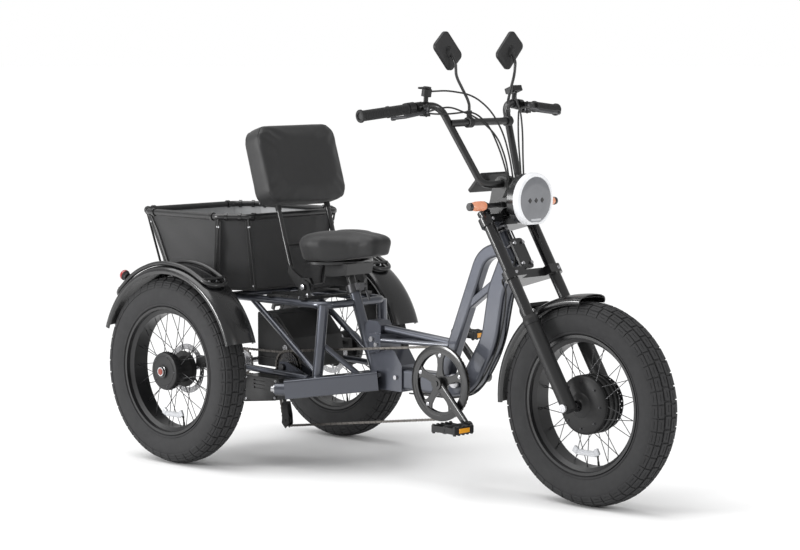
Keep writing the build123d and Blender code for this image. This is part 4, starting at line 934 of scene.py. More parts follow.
class TRIKE_OT_basket(bpy.types.Operator):
    """Makes the cloth basket, its corner straps with rivets, and the clip rings on its rim"""

    bl_idname = "trike.basket"
    bl_label = "Basket"

    def execute(self, context):
        base = [at(x, y, BASKET_LOW) for x, y in BASE_OUTLINE]
        rim = [at(x * 0.994, y * 0.99, BASKET_TOP) for x, y in RIM_OUTLINE]
        self.cloth(base, rim)
        self.straps(base, rim)
        self.clips()
        return {"FINISHED"}

    def cloth(self, base, rim):
        """The cloth: a flat floor, sides that belly in slightly, and a hem that is turned over at the top."""
        deselect()
        bpy.ops.mesh.primitive_circle_add(vertices=8, radius=1, fill_type="NGON")
        liner = fresh()
        for corner, spot in zip(liner.data.vertices, base):
            corner.co = spot
        edit(liner)
        bpy.ops.mesh.extrude_region_move(TRANSFORM_OT_translate={"value": (0, 0, (BASKET_TOP - BASKET_LOW) * MM)})
        done()
        top = [v for v in liner.data.vertices if v.co.z > 0.7]
        for point in top:
            nearest = min(range(8), key=lambda i: (base[i].xy - point.co.xy).length)
            point.co = rim[nearest]
        edit(liner)
        pick(liner, lambda face: abs(face.normal.z) > 0.9 and face.calc_center_median().z > 0.7)
        bpy.ops.mesh.delete(type="FACE")
        pick(liner, lambda face: abs(face.normal.z) < 0.9)
        bpy.ops.mesh.subdivide(number_cuts=9, quadcorner="INNERVERT")
        done()
        middle = at(-90, 0, 0)
        for point in liner.data.vertices:
            rise = (point.co.z - base[0].z) / ((BASKET_TOP - BASKET_LOW) * MM)
            if 0.02 < rise < 0.98:
                flat = (point.co - middle).xy
                belly = sin(pi * rise) * 0.006 + 0.0015 * sin(point.co.x * 40 + point.co.z * 55 + point.co.y * 33)
                inward = -flat.normalized() * belly
                point.co.x += inward.x
                point.co.y += inward.y
        for name in ("Basket Cloth", "Basket Corner", "Basket Inside"):
            liner.data.materials.append(FINISHES[name])
        for face in liner.data.polygons:
            corner = abs(face.normal.x) > 0.35 and abs(face.normal.y) > 0.35
            face.material_index = 1 if corner else 0
        modify(liner, "SOLIDIFY", thickness=CLOTH_THICK, offset=1.0, material_offset=0, use_rim=True)
        heart = at(-85, 0, 900)
        for face in liner.data.polygons:
            if face.normal.dot(heart - face.center) > 0 and face.center.z < 0.781:
                inside = abs(face.normal.z) < 0.9 or face.normal.z > 0.9
                face.material_index = 2 if inside else face.material_index
        only(liner)
        bpy.ops.object.shade_smooth_by_angle(angle=radians(28))
        finished(liner, "basket_cloth", "Basket Cloth", "root", "basket_cloth", "basket_liner")
        hems = [coat(wire([spot + Vector((0, 0, -0.002)) for spot in rim + rim[:1]], 0.0026, False), "Strap Webbing")]
        foot = [spot + (spot - at(-90, 0, spot.z / MM)).normalized() * 0.001 + Vector((0, 0, 0.002)) for spot in base]
        hems.append(coat(wire(foot + foot[:1], 0.003, False), "Strap Webbing"))
        finished(joined("hems", hems), "basket_hems", "Strap Webbing", "root", "basket_cloth")

    def straps(self, base, rim):
        """A webbing strap down each corner edge, held by a pale rivet at its top and bottom."""
        width = sizes().strap_width
        straps, rivets = [], []
        for index, (low, high) in enumerate(zip(base, rim)):
            run = high - low
            out = (low.lerp(high, 0.5) - at(-90, 0, 665)) * Vector((1, 1, 0))
            out = (out - run.normalized() * out.dot(run.normalized())).normalized()
            turn = Matrix((out.cross(run.normalized()), out, run.normalized())).transposed()
            band = slab((width, 0.0028, run.length - 0.006), low.lerp(high, 0.5) + out * 0.0042, turn, 0.0008, 1)
            straps.append(coat(band, "Strap Webbing"))
            for share in (0.07, 0.90):
                spot = low.lerp(high, share) + out * 0.0056
                rivets.append(coat(turned([(0, 0.0042), (0.0012, 0.0040), (0.0022, 0.0022)], spot, out, 16), "White Ring"))
        finished(joined("straps", straps + rivets), "basket_straps", "Strap Webbing", "root", "basket_cloth")

    def clips(self):
        """Split rings that clip the cloth to the rim tube."""
        clips = []
        for index, (x, y) in enumerate(RIM_OUTLINE):
            after = RIM_OUTLINE[(index + 1) % 8]
            before = RIM_OUTLINE[index - 1]
            for other in (after, before):
                here = at(x, y, 790)
                there = at(*other, 790)
                spot = here + (there - here).normalized() * 0.026
                ring = turned([(-0.005, 0.0104), (-0.005, 0.0132), (0.005, 0.0132), (0.005, 0.0104)],
                              spot, there - here, 28, True)
                clips.append(coat(ring, "Gloss Black"))
        finished(joined("clips", clips), "basket_clips", "Gloss Black", "root", "black_paint")


# ----------------------------------------------------------------------- lamps


class TRIKE_OT_lamps(bpy.types.Operator):
    """Makes the headlight's white ring and ribbed face, the indicators and the tail lamps"""

    bl_idname = "trike.lamps"
    bl_label = "Lamps"

    def execute(self, context):
        self.headlight()
        self.indicators()
        self.tail_lamps()
        return {"FINISHED"}

    def headlight(self):
        """A thick white ring, open along a flat at the bottom, round a dark face with a plain pale label."""
        centre = at(1182, 0, 887)
        ring = turned([(0, 0.066), (0, 0.078), (0.003, 0.080), (0.017, 0.080), (0.0215, 0.0785), (0.0245, 0.0745),
                       (0.0245, 0.0705), (0.0225, 0.0682), (0.019, 0.0675)], centre, (1, 0, 0), 96, True)
        face = turned([(0, 0.0685), (0.0215, 0.0685), (0.0225, 0.064), (0.0235, 0.044), (0.0240, 0.006)],
                      centre, (1, 0, 0), 96)
        flat = 0.8155
        for part, low in ((ring, flat), (face, flat + 0.006)):
            edit(part)
            bpy.ops.mesh.bisect(plane_co=(0, 0, low), plane_no=(0, 0, 1), use_fill=True, clear_inner=True)
            done()
            tidy(part, 32)
        coat(ring, "White Ring")
        coat(face, "Lamp Face")
        foot = slab((0.018, 0.064, 0.010), centre + Vector((0.012, 0, flat + 0.003 - centre.z)), None, 0.003)
        label = slab((0.003, 0.044, 0.007), centre + Vector((0.0232, 0, -0.0590)), None, 0.001)
        parts = [ring, face, coat(foot, "White Ring"), coat(label, "Clear Reflector")]
        for side in (-1, 0, 1):
            bulb = turned([(0, 0.0085), (0.0012, 0.0085), (0.0022, 0.0070)], centre + Vector((0.0228, side * 0.027, -0.002)),
                          (1, 0, 0), 4)
            parts.append(coat(bulb, "Gloss Black"))
        finished(joined("lamp", parts), "headlight_face", "Lamp Face", "steering", "lamp_face", "headlight_lens")

    def indicators(self):
        """Amber lenses between a black stem and a black tip."""
        parts = []
        for side in (-1, 1):
            out = (0, side, 0)
            stem = turned([(0, 0.0088), (0.012, 0.0088), (0.014, 0.007), (0.066, 0.007), (0.070, 0.0095), (0.078, 0.0125),
                           (0.081, 0.0135)], at(1114, side * 47, 871), out, 32)
            lens = turned([(0, 0.0130), (0.003, 0.0140), (0.020, 0.0142), (0.040, 0.0138), (0.050, 0.0125), (0.056, 0.0105)],
                          at(1114, side * 128, 871), out, 40)
            tip = turned([(0, 0.0112), (0.002, 0.0125), (0.009, 0.0118), (0.012, 0.0090)], at(1114, side * 184, 870.6), out, 32)
            ribs = [turned([(-0.0006, 0.0136), (-0.0006, 0.0147), (0.0006, 0.0147), (0.0006, 0.0136)],
                           at(1114, side * (136 + 7 * index), 871), out, 32, True) for index in range(5)]
            parts += [coat(stem, "Matte Black"), coat(lens, "Amber Lens"), coat(tip, "Gloss Black")]
            parts += [coat(rib, "Amber Lens") for rib in ribs]
        finished(joined("indicators", parts), "indicators", "Amber Lens", "steering", "amber_lens", "turn_signals")

    def tail_lamps(self):
        """Round red lamps with a ringed lens in a black cup."""
        parts = []
        for side in (-1, 1):
            base = at(-243, side * 376.5, 588)
            back = (at(-258, 0, 593) - at(-243, 0, 588)).normalized()
            cup = turned([(-0.014, 0.010), (-0.012, 0.0125), (-0.004, 0.0145), (-0.002, 0.0160), (0.001, 0.0160), (0.002, 0.0140)],
                         base, back, 40)
            lens = turned([(0.000, 0.0172), (0.007, 0.0176), (0.010, 0.0160), (0.0110, 0.0125), (0.0102, 0.0108),
                           (0.0128, 0.0090), (0.0146, 0.0030)], base, back, 40)
            parts += [coat(cup, "Matte Black"), coat(lens, "Red Lens")]
        finished(joined("tails", parts), "tail_lamps", "Red Lens", "root", "red_lens", "taillights")


# --------------------------------------------------------------------- controls

GRIP_END = at(907, -436, 1137)
BAR_BEND = at(948, -147, 1166)
BAR_DIR = (BAR_BEND - GRIP_END).normalized()


def along_bar(side, distance, ahead=0.0, up=0.0):
    """A point in millimetres along a grip from its outer end, on the rider's right (-1) or left (1)."""
    point = GRIP_END + BAR_DIR * (distance * MM) + Vector((ahead, 0, up)) * MM
    return Vector((point.x, -side * point.y, point.z))


def bar_way(side):
    """The way a grip runs towards the middle."""
    return Vector((BAR_DIR.x, -side * BAR_DIR.y, BAR_DIR.z))


class TRIKE_OT_controls(bpy.types.Operator):
    """Makes the ribbed grips, the twist throttle, the mirrors and the plate on the head tube"""

    bl_idname = "trike.controls"
    bl_label = "Handlebar Controls"

    def execute(self, context):
        grips = [self.grip(-1, 105), self.grip(1, 130)]
        finished(joined("grips", grips), "ribbed_grips", "Grip Rubber", "steering", "rubber", "grips")
        self.throttle()
        for name, side in (("right", -1), ("left", 1)):
            self.mirror(name, side)
        self.name_plate()
        self.screen()
        return {"FINISHED"}

    def grip(self, side, length):
        """A rubber grip with a flanged end and raised rings, drawn as one turned shape."""
        end = length * MM
        profile = [(-0.003, 0.0112), (-0.003, 0.0185), (-0.001, 0.0195), (0.003, 0.0195), (0.005, 0.0175), (0.007, 0.0158)]
        spot = 0.011
        while spot < end - 0.014:
            profile += [(spot, 0.0150), (spot + 0.0010, 0.0160), (spot + 0.0036, 0.0160), (spot + 0.0046, 0.0150)]
            spot += 0.0062
        profile += [(end - 0.008, 0.0156), (end - 0.006, 0.0178), (end - 0.001, 0.0178), (end, 0.0170), (end, 0.0112)]
        return coat(turned(profile, along_bar(side, 0), bar_way(side), 40, True), "Grip Rubber")

    def throttle(self):
        """The twist throttle between the right grip and its housing."""
        profile = [(0.107, 0.0112), (0.107, 0.0148), (0.109, 0.0155)]
        spot = 0.112
        while spot < 0.158:
            profile += [(spot, 0.0150), (spot + 0.0012, 0.0158), (spot + 0.0042, 0.0158), (spot + 0.0054, 0.0150)]
            spot += 0.0074
        profile += [(0.1635, 0.0156), (0.165, 0.0186), (0.171, 0.0190), (0.172, 0.0180), (0.172, 0.0112)]
        sleeve = turned(profile, along_bar(-1, 0), bar_way(-1), 40, True)
        finished(sleeve, "twist_throttle", "Grip Rubber", "throttle_grip", "rubber", "throttle")

    def mirror(self, name, side):
        """A mirror: a dished black shell with an oval boss, glass on the rider's side and a bent stalk."""
        turn = Matrix.Rotation(-radians(43) * side, 4, "X")
        frame_place = Matrix.Translation(at(968, side * 138, 1325)) @ turn
        corner = 0.015
        points = []
        for sx, sy, start in ((1, 1, 0), (-1, 1, 90), (-1, -1, 180), (1, -1, 270)):
            for step in range(0, 91, 18):
                angle = radians(start + step)
                points.append((sx * (0.053 - corner) + corner * cos(angle), sy * (0.037 - corner) + corner * sin(angle)))
        place = frame_place @ Matrix.Rotation(-pi / 2, 4, "Y")
        back = outline(points, 0.0125, place @ Matrix.Translation((0, 0, -0.0125)), 0.0022, 3)
        way = frame_place.to_3x3() @ Vector((1, 0, 0))
        edit(back)
        pick(back, lambda face: face.normal.dot(way) > 0.95 and face.calc_area() > 0.002)
        bpy.ops.mesh.inset(thickness=0.007, depth=0)
        bpy.ops.transform.translate(value=way * 0.0012)
        pick(back, lambda face: face.normal.dot(way) < -0.95 and face.calc_area() > 0.002)
        bpy.ops.mesh.inset(thickness=0.0035, depth=-0.0012)
        done()
        coat(back, "Matte Black")
        glass_points = [(x * 0.925, y * 0.90) for x, y in points]
        glass = coat(outline(glass_points, 0.0010, place @ Matrix.Translation((0, 0, -0.0006)), 0.0003, 1), "Mirror Glass")
        boss = turned([(0, 0.0125), (0.004, 0.0115), (0.008, 0.0085), (0.010, 0.0060)], (0, 0, 0), (1, 0, 0), 32)
        boss.scale = (1, 1, 1.5)
        settle(boss)
        stand(boss, at(980, side * 138, 1322), Matrix.Rotation(-radians(12) * side, 3, "X"))
        stalk = wire([at(1015, side * 86, 1127), at(1015, side * 86, 1150), at(1015, side * 86.5, 1172),
                      at(1008, side * 108, 1212), at(1002, side * 130, 1250), at(1003, side * 132, 1275),
                      at(1003, side * 134, 1294), at(984, side * 137, 1321)], 0.0044)
        nut = turned([(0, 0.0086), (0.009, 0.0086), (0.010, 0.0076)], at(1015, side * 86, 1138.5), (0, 0, 1), 6)
        parts = [back, glass, coat(boss, "Matte Black"), coat(stalk, "Satin Black"), coat(nut, "Gloss Black")]
        finished(joined("mirror", parts), f"mirror_and_stalk_{name}", "Matte Black", f"{name}_mirror", "mirror", f"mirror_{name}")

    def name_plate(self):
        """A plain plate on the front of the head tube, with a raised rim and four bolts."""
        place = Matrix.Translation(on_fork(33, 0, 502)) @ Matrix((
            LEFT, FORK_AHEAD.cross(LEFT), FORK_AHEAD)).transposed().to_4x4()
        corners = []
        for sx, sy, start in ((1, 1, 0), (-1, 1, 90), (-1, -1, 180), (1, -1, 270)):
            for step in range(0, 91, 30):
                angle = radians(start + step)
                corners.append((sx * 0.017 + 0.010 * cos(angle), sy * 0.040 + 0.010 * sin(angle)))
        plate = outline(corners, 0.009, place, 0.001, 1)
        edit(plate)
        pick(plate, lambda face: face.normal.dot(FORK_AHEAD) > 0.95 and face.calc_area() > 0.002)
        bpy.ops.mesh.inset(thickness=0.004, depth=-0.0018)
        done()
        stubs = [turned([(0, 0.005), (0.019, 0.005)], on_fork(14, y, up), FORK_AHEAD, 20) for up in (468, 536) for y in (-19, 19)]
        coat(plate, "Gloss Black")
        finished(joined("plate", [plate] + [coat(stub, "Dark Steel") for stub in stubs]), "head_tube_plate",
                 "Gloss Black", "root", "bolt_steel", "head_plate")

    def screen(self):
        """A blank glossy screen set in the display's housing."""
        lean = Vector((-0.73, 0, 0.68)).normalized()
        place = Matrix.Translation(at(1018, 0, 929) + lean * 0.0082) @ Matrix((
            LEFT, lean.cross(LEFT), lean)).transposed().to_4x4()
        glass = outline([(0.050, 0.024), (-0.050, 0.024), (-0.050, -0.024), (0.050, -0.024)], 0.0012, place, 0.0005, 2)
        finished(coat(glass, "Gloss Black"), "display_screen", "Gloss Black", "steering", "case")


# ------------------------------------------------------------------- drivetrain

CRANK_CENTRE = at(909, 0, 320)
CRANK_LENGTH = 0.175
ARM_DOWN = radians(41)
ARM_DIR = Vector((cos(ARM_DOWN), 0, -sin(ARM_DOWN)))
LINK_PITCH = 0.0127


def loop_round(wheels):
    """Points at equal steps along a belt line round circles given as (x, z, radius), in millimetres."""
    rim = [Vector((x + r * cos(tau * i / 120), z + r * sin(tau * i / 120))) for x, z, r in wheels for i in range(120)]
    hull = []
    for points in (sorted(rim, key=lambda p: (p.x, p.y)), sorted(rim, key=lambda p: (-p.x, -p.y))):
        chain = []
        for point in points:
            while len(chain) > 1 and (chain[-1] - chain[-2]).cross(point - chain[-1]) <= 0:
                chain.pop()
            chain.append(point)
        hull += chain[:-1]
    lengths = [(b - a).length for a, b in zip(hull, hull[1:] + hull[:1])]
    count = 2 * round(sum(lengths) / (LINK_PITCH * 2000))
    step = sum(lengths) / count
    spots, covered, target = [], 0.0, 0.0
    for a, b, length in zip(hull, hull[1:] + hull[:1], lengths):
        while target <= covered + length and len(spots) < count:
            spots.append(a.lerp(b, (target - covered) / length))
            target += step
        covered += length
    return spots


class TRIKE_OT_drive(bpy.types.Operator):
    """Makes both chains link by link, the toothed sprockets, the chain guard and the pedals"""

    bl_idname = "trike.drive"
    bl_label = "Drive"

    def execute(self, context):
        chains = [self.chain([(224, 305, 50), (909, 320, 110.6), (226, 131, 19.6)], -92),
                  self.chain([(0, 300, 41.6), (224, 305, 41.6)], -74)]
        finished(joined("chains", chains), "roller_chains", "Chain Steel", "root", "chain", "chains")
        self.chainring()
        self.sprockets()
        for name, side in (("right", -1), ("left", 1)):
            self.pedal(name, side)
        return {"FINISHED"}

    def chain(self, wheels, y):
        """A roller chain: pairs of waisted side plates, narrow and wide in turn, with a roller at each joint."""
        spots = loop_round(wheels)
        links = []
        half = LINK_PITCH / 2
        waist = [(-half, 0.0040), (-half - 0.0030, 0.0028), (-half - 0.0042, 0), (-half - 0.0030, -0.0028), (-half, -0.0040),
                 (0, -0.0026), (half, -0.0040), (half + 0.0030, -0.0028), (half + 0.0042, 0), (half + 0.0030, 0.0028),
                 (half, 0.0040), (0, 0.0026)]
        face = Matrix(((1, 0, 0), (0, 0, -1), (0, 1, 0))).to_4x4()
        models = []
        for gap in (0.0019, 0.0031):
            plates = [outline(waist, 0.0010, Matrix.Translation((0, side * gap + 0.0005, 0)) @ face) for side in (-1, 1)]
            roller = turned([(-0.0022, 0.0036), (0.0022, 0.0036)], (-half, 0, 0), sides=10)
            models.append(joined("link", plates + [roller]))
        deselect()
        for index, spot in enumerate(spots):
            after = spots[(index + 1) % len(spots)]
            middle = (spot + after) / 2
            way = (after - spot).normalized()
            twin = models[index % 2].copy()
            twin.data = models[index % 2].data.copy()
            twin.matrix_world = Matrix.Translation(at(middle.x, y, middle.y)) @ Matrix.Rotation(-atan2(way.y, way.x), 4, "Y")
            twin.data.transform(twin.matrix_world)
            twin.matrix_world = Matrix()
            bpy.context.collection.objects.link(twin)
            links.append(twin)
        for model in models:
            bpy.data.objects.remove(model)
        return coat(joined("chain", links), "Chain Steel")

    def toothed(self, radius, teeth, thick, centre, inner):
        """A sprocket ring with rounded teeth."""
        points = []
        for index in range(teeth * 4):
            angle = tau * index / (teeth * 4)
            reach = (radius - 0.0034, radius + 0.0008, radius + 0.0022, radius + 0.0008)[index % 4]
            points.append((reach * cos(angle), reach * sin(angle)))
        place = Matrix.Translation(centre - LEFT * (thick / 2)) @ Matrix(((1, 0, 0), (0, 0, 1), (0, -1, 0))).to_4x4()
        disc = outline(points, thick, place, 0.0)
        hole = turned([(-0.02, inner), (0.02, inner)], centre, sides=64)
        modify(disc, "BOOLEAN", operation="DIFFERENCE", object=hole, solver="EXACT")
        bpy.data.objects.remove(hole)
        return tidy(disc, 30)

    def chainring(self):
        """The toothed chainring on its five-armed spider, and the smooth guard ring outside it."""
        ring_y = CRANK_CENTRE - LEFT * 0.092
        ring = coat(self.toothed(0.1095, 46, 0.0026, ring_y, 0.089), "Dark Steel")
        guard = turned([(0, 0.0905), (0, 0.1155), (0.001, 0.1165), (0.0025, 0.1165), (0.0035, 0.1145), (0.0035, 0.1005),
                        (0.0028, 0.0995), (0.0028, 0.0940), (0.0035, 0.0930), (0.0035, 0.0905)],
                       ring_y - LEFT * 0.0072, (0, -1, 0), 120, True)
        parts = [ring, coat(guard, "Gloss Black")]
        arm = outline([(0.020, 0.019), (0.034, 0.0125), (0.055, 0.0105), (0.074, 0.0125), (0.086, 0.0200), (0.0935, 0.0300),
                       (0.0985, 0), (0.0935, -0.0300), (0.086, -0.0200), (0.074, -0.0125), (0.055, -0.0105), (0.034, -0.0125),
                       (0.020, -0.019)], 0.006,
                      Matrix(((1, 0, 0), (0, 0, -1), (0, 1, 0))).to_4x4(), 0.0012)
        screw = stud((0.0850, -0.0072, 0), (0, -1, 0), 0.0042, 0.0028)
        spider = joined("arm", [coat(arm, "Gloss Black"), coat(screw, "Bright Steel")])
        for twin in around(spider, (0, 0, 0), 5, radians(-18)):
            parts.append(stand(twin, ring_y - LEFT * 0.0015))
        boss = turned([(-0.012, 0.0087), (-0.012, 0.022), (-0.008, 0.026), (0.004, 0.028), (0.006, 0.026), (0.006, 0.0087)],
                      ring_y, (0, -1, 0), 48, True)
        parts.append(coat(boss, "Gloss Black"))
        finished(joined("chainring", parts), "chainring_and_guard", "Gloss Black", "crankset", "crank", "chainring")

    def sprockets(self):
        """A row of toothed cogs on the jack shaft and the sprockets of the short chain."""
        jack = at(224, 0, 305)
        cogs = [coat(self.toothed(r * MM, round(r * 0.5), 0.0015, jack + LEFT * ((-92 + 5.2 - 3 * i) * MM), 0.0185), "Chain Steel")
                for i, r in enumerate((44, 39, 34, 30, 27))]
        cogs.append(coat(self.toothed(0.041, 20, 0.0024, jack - LEFT * 0.074, 0.0185), "Chain Steel"))
        finished(joined("cogs", cogs), "jack_shaft_cogs", "Chain Steel", "jack", "steel")
        rear = coat(self.toothed(0.041, 20, 0.0024, at(0, -74, 300), 0.0205), "Chain Steel")
        finished(rear, "axle_sprocket", "Chain Steel", "drive_axle", "steel")

    def pedal(self, name, side):
        """A platform pedal: a toothed cage round the spindle barrel, with a reflector front and back."""
        hang = CRANK_CENTRE - ARM_DIR * (CRANK_LENGTH * side) + LEFT * (side * 0.118)
        middle = hang + LEFT * (side * 0.066)
        parts = [coat(turned([(-0.009, 0.0059), (0.016, 0.0059), (0.020, 0.010), (0.024, 0.0125), (0.100, 0.0125),
                              (0.106, 0.0105), (0.109, 0.006)], hang, (0, side, 0), 28), "Matte Black")]
        for x in (-1, 1):
            rail = slab((0.011, 0.084, 0.022), middle + Vector((x * 0.0425, 0, 0)), None, 0.002)
            parts.append(coat(rail, "Matte Black"))
            lens = slab((0.0030, 0.046, 0.014), middle + Vector((x * 0.0475, 0, 0)), None, 0.001)
            parts.append(coat(lens, "Yellow Reflector"))
            for step in range(5):
                spike = slab((0.0085, 0.007, 0.0048), middle + Vector((x * 0.0425, (step - 2) * 0.0185, 0.0118)), None, 0.0012, 1)
                parts.append(coat(spike, "Matte Black"))
                parts.append(coat(copied(spike, (0, 0, -0.0236)), "Matte Black"))
        for y in (-0.038, 0, 0.038):
            web = slab((0.080, 0.008, 0.018), middle + Vector((0, y, 0)), None, 0.0015)
            parts.append(coat(web, "Matte Black"))
        finished(joined("pedal", parts), f"platform_pedal_{name}", "Matte Black", f"{name}_pedal", "pedal", f"pedal_{name}")


# -------------------------------------------------------------- frame hardware


class TRIKE_OT_hardware(bpy.types.Operator):
    """Makes the small trim: case seams, fender stays and edges, cable clips and fork caps"""

    bl_idname = "trike.hardware"
    # Makes the small trim: fork caps and seals, case seams and screws, the fenders with their lips and stays, and the
    # guard and hinge bolts
    bl_label = "Hardware"

    def execute(self, context):
        self.fork_trim()
        self.case_trim()
        self.fenders()
        self.fender_trim()
        self.seat_spring()
        return {"FINISHED"}

    def fork_trim(self):
        """Caps on the fork's tubes, dust seals on its legs and pinch bolts in its crowns."""
        caps, seals = [], []
        for side in (-1, 1):
            top = on_fork(45, side * 95, 641)
            caps.append(coat(turned([(0, 0.0195), (0.003, 0.0200), (0.005, 0.0180), (0.0055, 0.0090), (0.009, 0.0085), (0.010, 0.006)],
                                    top, FORK_UP, 32), "Matte Black"))
            for up in (432, 611):
                bolt = stud(on_fork(70, side * 95, up), FORK_AHEAD, 0.0036, 0.0045)
                caps.append(coat(bolt, "Bright Steel"))
            seals.append(coat(turned([(0, 0.0178), (0, 0.0250), (0.006, 0.0252), (0.010, 0.0225), (0.016, 0.0205), (0.018, 0.0178)],
                                     on_fork(45, side * 95, 280), FORK_UP, 40, True), "Grip Rubber"))
        finished(joined("caps", caps), "fork_caps", "Matte Black", "steering", "black_paint")
        finished(joined("seals", seals), "fork_seals", "Grip Rubber", "fork_legs", "rubber")

    def case_trim(self):
        """The battery case's seams, and the controller's screws."""
        parts = []
        for y in (-57.2, 166.2):
            seam = wire([at(46, y, 318), at(150, y, 322), at(219, y, 330)], 0.0013, False)
            parts.append(coat(seam, "Gloss Black"))
            seam = wire([at(60, y, 452), at(138, y, 452), at(206, y, 388)], 0.0013, False)
            parts.append(coat(seam, "Gloss Black"))
        for x, z in ((160, 276), (300, 276), (160, 206), (296, 222)):
            parts.append(coat(stud(at(x, -215, z), (0, -1, 0), 0.0034, 0.0025), "Bright Steel"))
        finished(joined("trim", parts), "case_trim", "Gloss Black", "root", "case")

    def fender(self, centre, drop, start, arc):
        """A smooth curved fender with a turned-in lip, swept about an axle from its rear end forward."""
        outer = [(-58, 304), (-60, 309), (-59.5, 315), (-55, 321.5), (-40, 327.5), (-20, 330.3), (0, 331)]
        outer += [(-w, r) for w, r in reversed(outer[:-1])]
        inner = [(w * 0.95, r - 2.6) for w, r in reversed(outer)]
        section = [(w * MM, (r - drop) * MM) for w, r in outer + inner]
        deselect()
        bpy.ops.mesh.primitive_circle_add(vertices=len(section), radius=1, fill_type="NOTHING")
        sheet = fresh()
        way = Vector((cos(radians(start)), 0, sin(radians(start))))
        for corner, (across, reach) in zip(sheet.data.vertices, section):
            corner.co = centre + LEFT * across + way * reach
        edit(sheet, "VERT")
        bpy.ops.mesh.spin(steps=56, angle=radians(arc), center=centre, axis=(0, -1, 0))
        bpy.ops.mesh.select_all(action="SELECT")
        bpy.ops.mesh.fill_holes(sides=0)
        done()
        return coat(tidy(sheet, 38), "Gloss Black")

    def fenders(self):
        """The rear fenders on their struts and the front fender on its boss."""
        parts = []
        for side in (-1, 1):
            parts.append(self.fender(at(12, side * 368.5, 312), 0, 160, 142))
            parts.append(coat(wire([at(-6, side * 203, 523), at(-6, side * 310, 626)], 0.007, False), "Satin Black"))
        finished(joined("rear_fenders", parts), "round_rear_fenders", "Gloss Black", "root", "fender", "rear_fenders")
        front = self.fender(WHEEL_CENTRES["front"], 8, 184, 95)
        boss = coat(turned([(0, 0.012), (0.017, 0.012)], on_fork(6, 0, 318), FORK_UP, 32), "Satin Black")
        finished(joined("front_fender", [front, boss]), "round_front_fender", "Gloss Black", "fork_legs", "fender",
                 "front_fender")

    def fender_trim(self):
        """Bright bolts that hold the loop guards to the fenders."""
        bolts = []
        for side in (-1, 1):
            for angle in (60, 136):
                way = Vector((cos(radians(angle)), 0, sin(radians(angle))))
                for offset in (-14, 14):
                    spot = at(12, side * 368.5 + offset, 312) + way * 0.3318
                    bolts.append(stud(spot, way, 0.0038, 0.0035))
        finished(coat(joined("bolts", bolts), "Bright Steel"), "guard_bolts", "Bright Steel", "root", "bolt_steel")

    def seat_spring(self):
        """Bolts through the backrest's hinge ears."""
        bolts = []
        for side in (-1, 1):
            bolts.append(stud(at(345, side * 140, 575), (0, side, 0), 0.0062, 0.005))
            bolts.append(stud(at(360, side * 132, 550), (0, side, 0), 0.0036, 0.003))
        finished(coat(joined("bolts", bolts), "Bright Steel"), "hinge_bolts", "Bright Steel", "root", "bolt_steel")


# ------------------------------------------------------------------------ stage


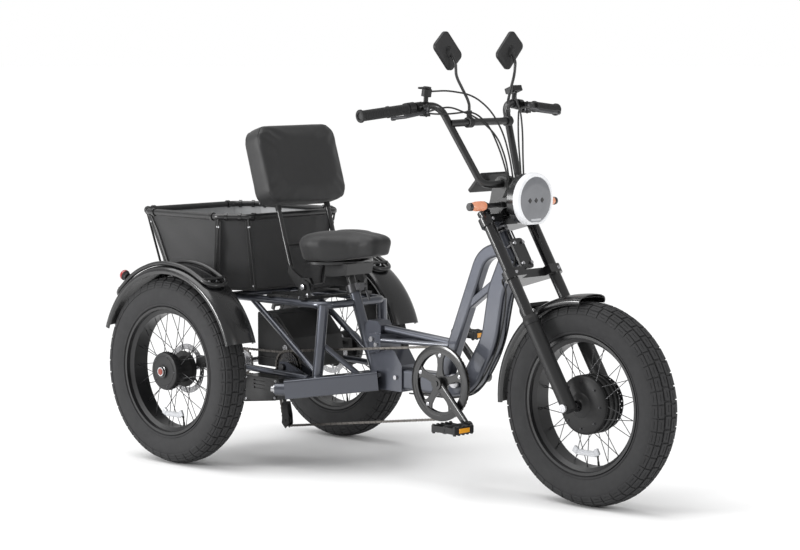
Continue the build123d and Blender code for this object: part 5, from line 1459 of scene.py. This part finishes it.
class TRIKE_OT_stage(bpy.types.Operator):
    """Makes the pale floor, the soft lights and the camera"""

    bl_idname = "trike.stage"
    bl_label = "Stage"

    def execute(self, context):
        scene = context.scene
        deselect()
        bpy.ops.mesh.primitive_plane_add(size=400, location=(0, 0, -0.001))
        floor = settle(fresh())
        floor.name = "floor"
        plain = bpy.data.materials.new("Pale Floor")
        plain.use_nodes = True
        shader = plain.node_tree.nodes["Principled BSDF"]
        shader.inputs["Base Color"].default_value = (0.93, 0.93, 0.93, 1)
        shader.inputs["Roughness"].default_value = 0.9
        floor.data.materials.append(plain)
        world = bpy.data.worlds.new("Soft Studio")
        world.use_nodes = True
        tree = world.node_tree
        backdrop = tree.nodes["Background"]
        backdrop.inputs["Color"].default_value = (1, 1, 1, 1)
        rays = tree.nodes.new("ShaderNodeLightPath")
        level = tree.nodes.new("ShaderNodeMapRange")
        level.inputs["To Min"].default_value = 0.5
        level.inputs["To Max"].default_value = 1.0
        tree.links.new(rays.outputs["Is Camera Ray"], level.inputs["Value"])
        tree.links.new(level.outputs["Result"], backdrop.inputs["Strength"])
        scene.world = world
        scene.view_settings.view_transform = "Standard"
        sun = bpy.data.lights.new("sky", "SUN")
        sun.energy = 2.1
        sun.angle = radians(60)
        sky = bpy.data.objects.new("sky", sun)
        context.collection.objects.link(sky)
        sky.rotation_euler = (radians(14), radians(-18), 0)
        self.light("side", (-2.4, -4.4, 1.5), 1.4, 150)
        self.light("front", (4.6, 0.6, 1.9), 1.0, 50)
        camera = bpy.data.cameras.new("camera")
        camera.lens = 109.1
        camera.sensor_width = 36
        camera.clip_end = 100
        view = bpy.data.objects.new("camera", camera)
        context.collection.objects.link(view)
        view.location = (5.2255, -5.4106, 1.3777)
        aim = Vector((-0.0361, 0, 0.6244)) - view.location
        view.rotation_euler = aim.to_track_quat("-Z", "Y").to_euler()
        scene.camera = view
        return {"FINISHED"}

    def light(self, name, place, size, power):
        """A soft square light aimed at the middle of the tricycle."""
        lamp = bpy.data.lights.new(name, "AREA")
        lamp.size = size
        lamp.energy = power
        made = bpy.data.objects.new(name, lamp)
        bpy.context.collection.objects.link(made)
        made.location = place
        made.rotation_euler = (Vector((0, 0, 0.5)) - made.location).to_track_quat("-Z", "Y").to_euler()


class TRIKE_PT_panel(bpy.types.Panel):
    """Lists the tricycle's settings and the steps that build it"""

    bl_idname = "TRIKE_PT_panel"
    bl_label = "Adult Tricycle"
    bl_space_type = "VIEW_3D"
    bl_region_type = "UI"
    bl_category = "Tricycle"

    def draw(self, context):
        for group in (context.scene.trike_colours, context.scene.trike_sizes):
            column = self.layout.column()
            for name in group.__annotations__:
                column.prop(group, name)
        for step in STEPS:
            self.layout.operator(step.bl_idname)


STEPS = (TRIKE_OT_finishes, TRIKE_OT_tyres, TRIKE_OT_hubs, TRIKE_OT_saddle, TRIKE_OT_backrest, TRIKE_OT_basket,
         TRIKE_OT_lamps, TRIKE_OT_controls, TRIKE_OT_drive, TRIKE_OT_hardware, TRIKE_OT_stage)
CLASSES = (TrikeColours, TrikeSizes) + STEPS + (TRIKE_PT_panel,)


def register():
    """Adds the settings, the steps and the panel."""
    for entry in CLASSES:
        bpy.utils.register_class(entry)
    bpy.types.Scene.trike_colours = bpy.props.PointerProperty(type=TrikeColours)
    bpy.types.Scene.trike_sizes = bpy.props.PointerProperty(type=TrikeSizes)


def unregister():
    """Takes them away again."""
    del bpy.types.Scene.trike_sizes
    del bpy.types.Scene.trike_colours
    for entry in reversed(CLASSES):
        bpy.utils.unregister_class(entry)


def main():
    """Builds everything in order."""
    register()
    bpy.ops.trike.finishes()
    bpy.ops.trike.tyres()
    bpy.ops.trike.hubs()
    bpy.ops.trike.saddle()
    bpy.ops.trike.backrest()
    bpy.ops.trike.basket()
    bpy.ops.trike.lamps()
    bpy.ops.trike.controls()
    bpy.ops.trike.drive()
    bpy.ops.trike.hardware()
    bpy.ops.trike.stage()


if __name__ == "__main__":
    main()
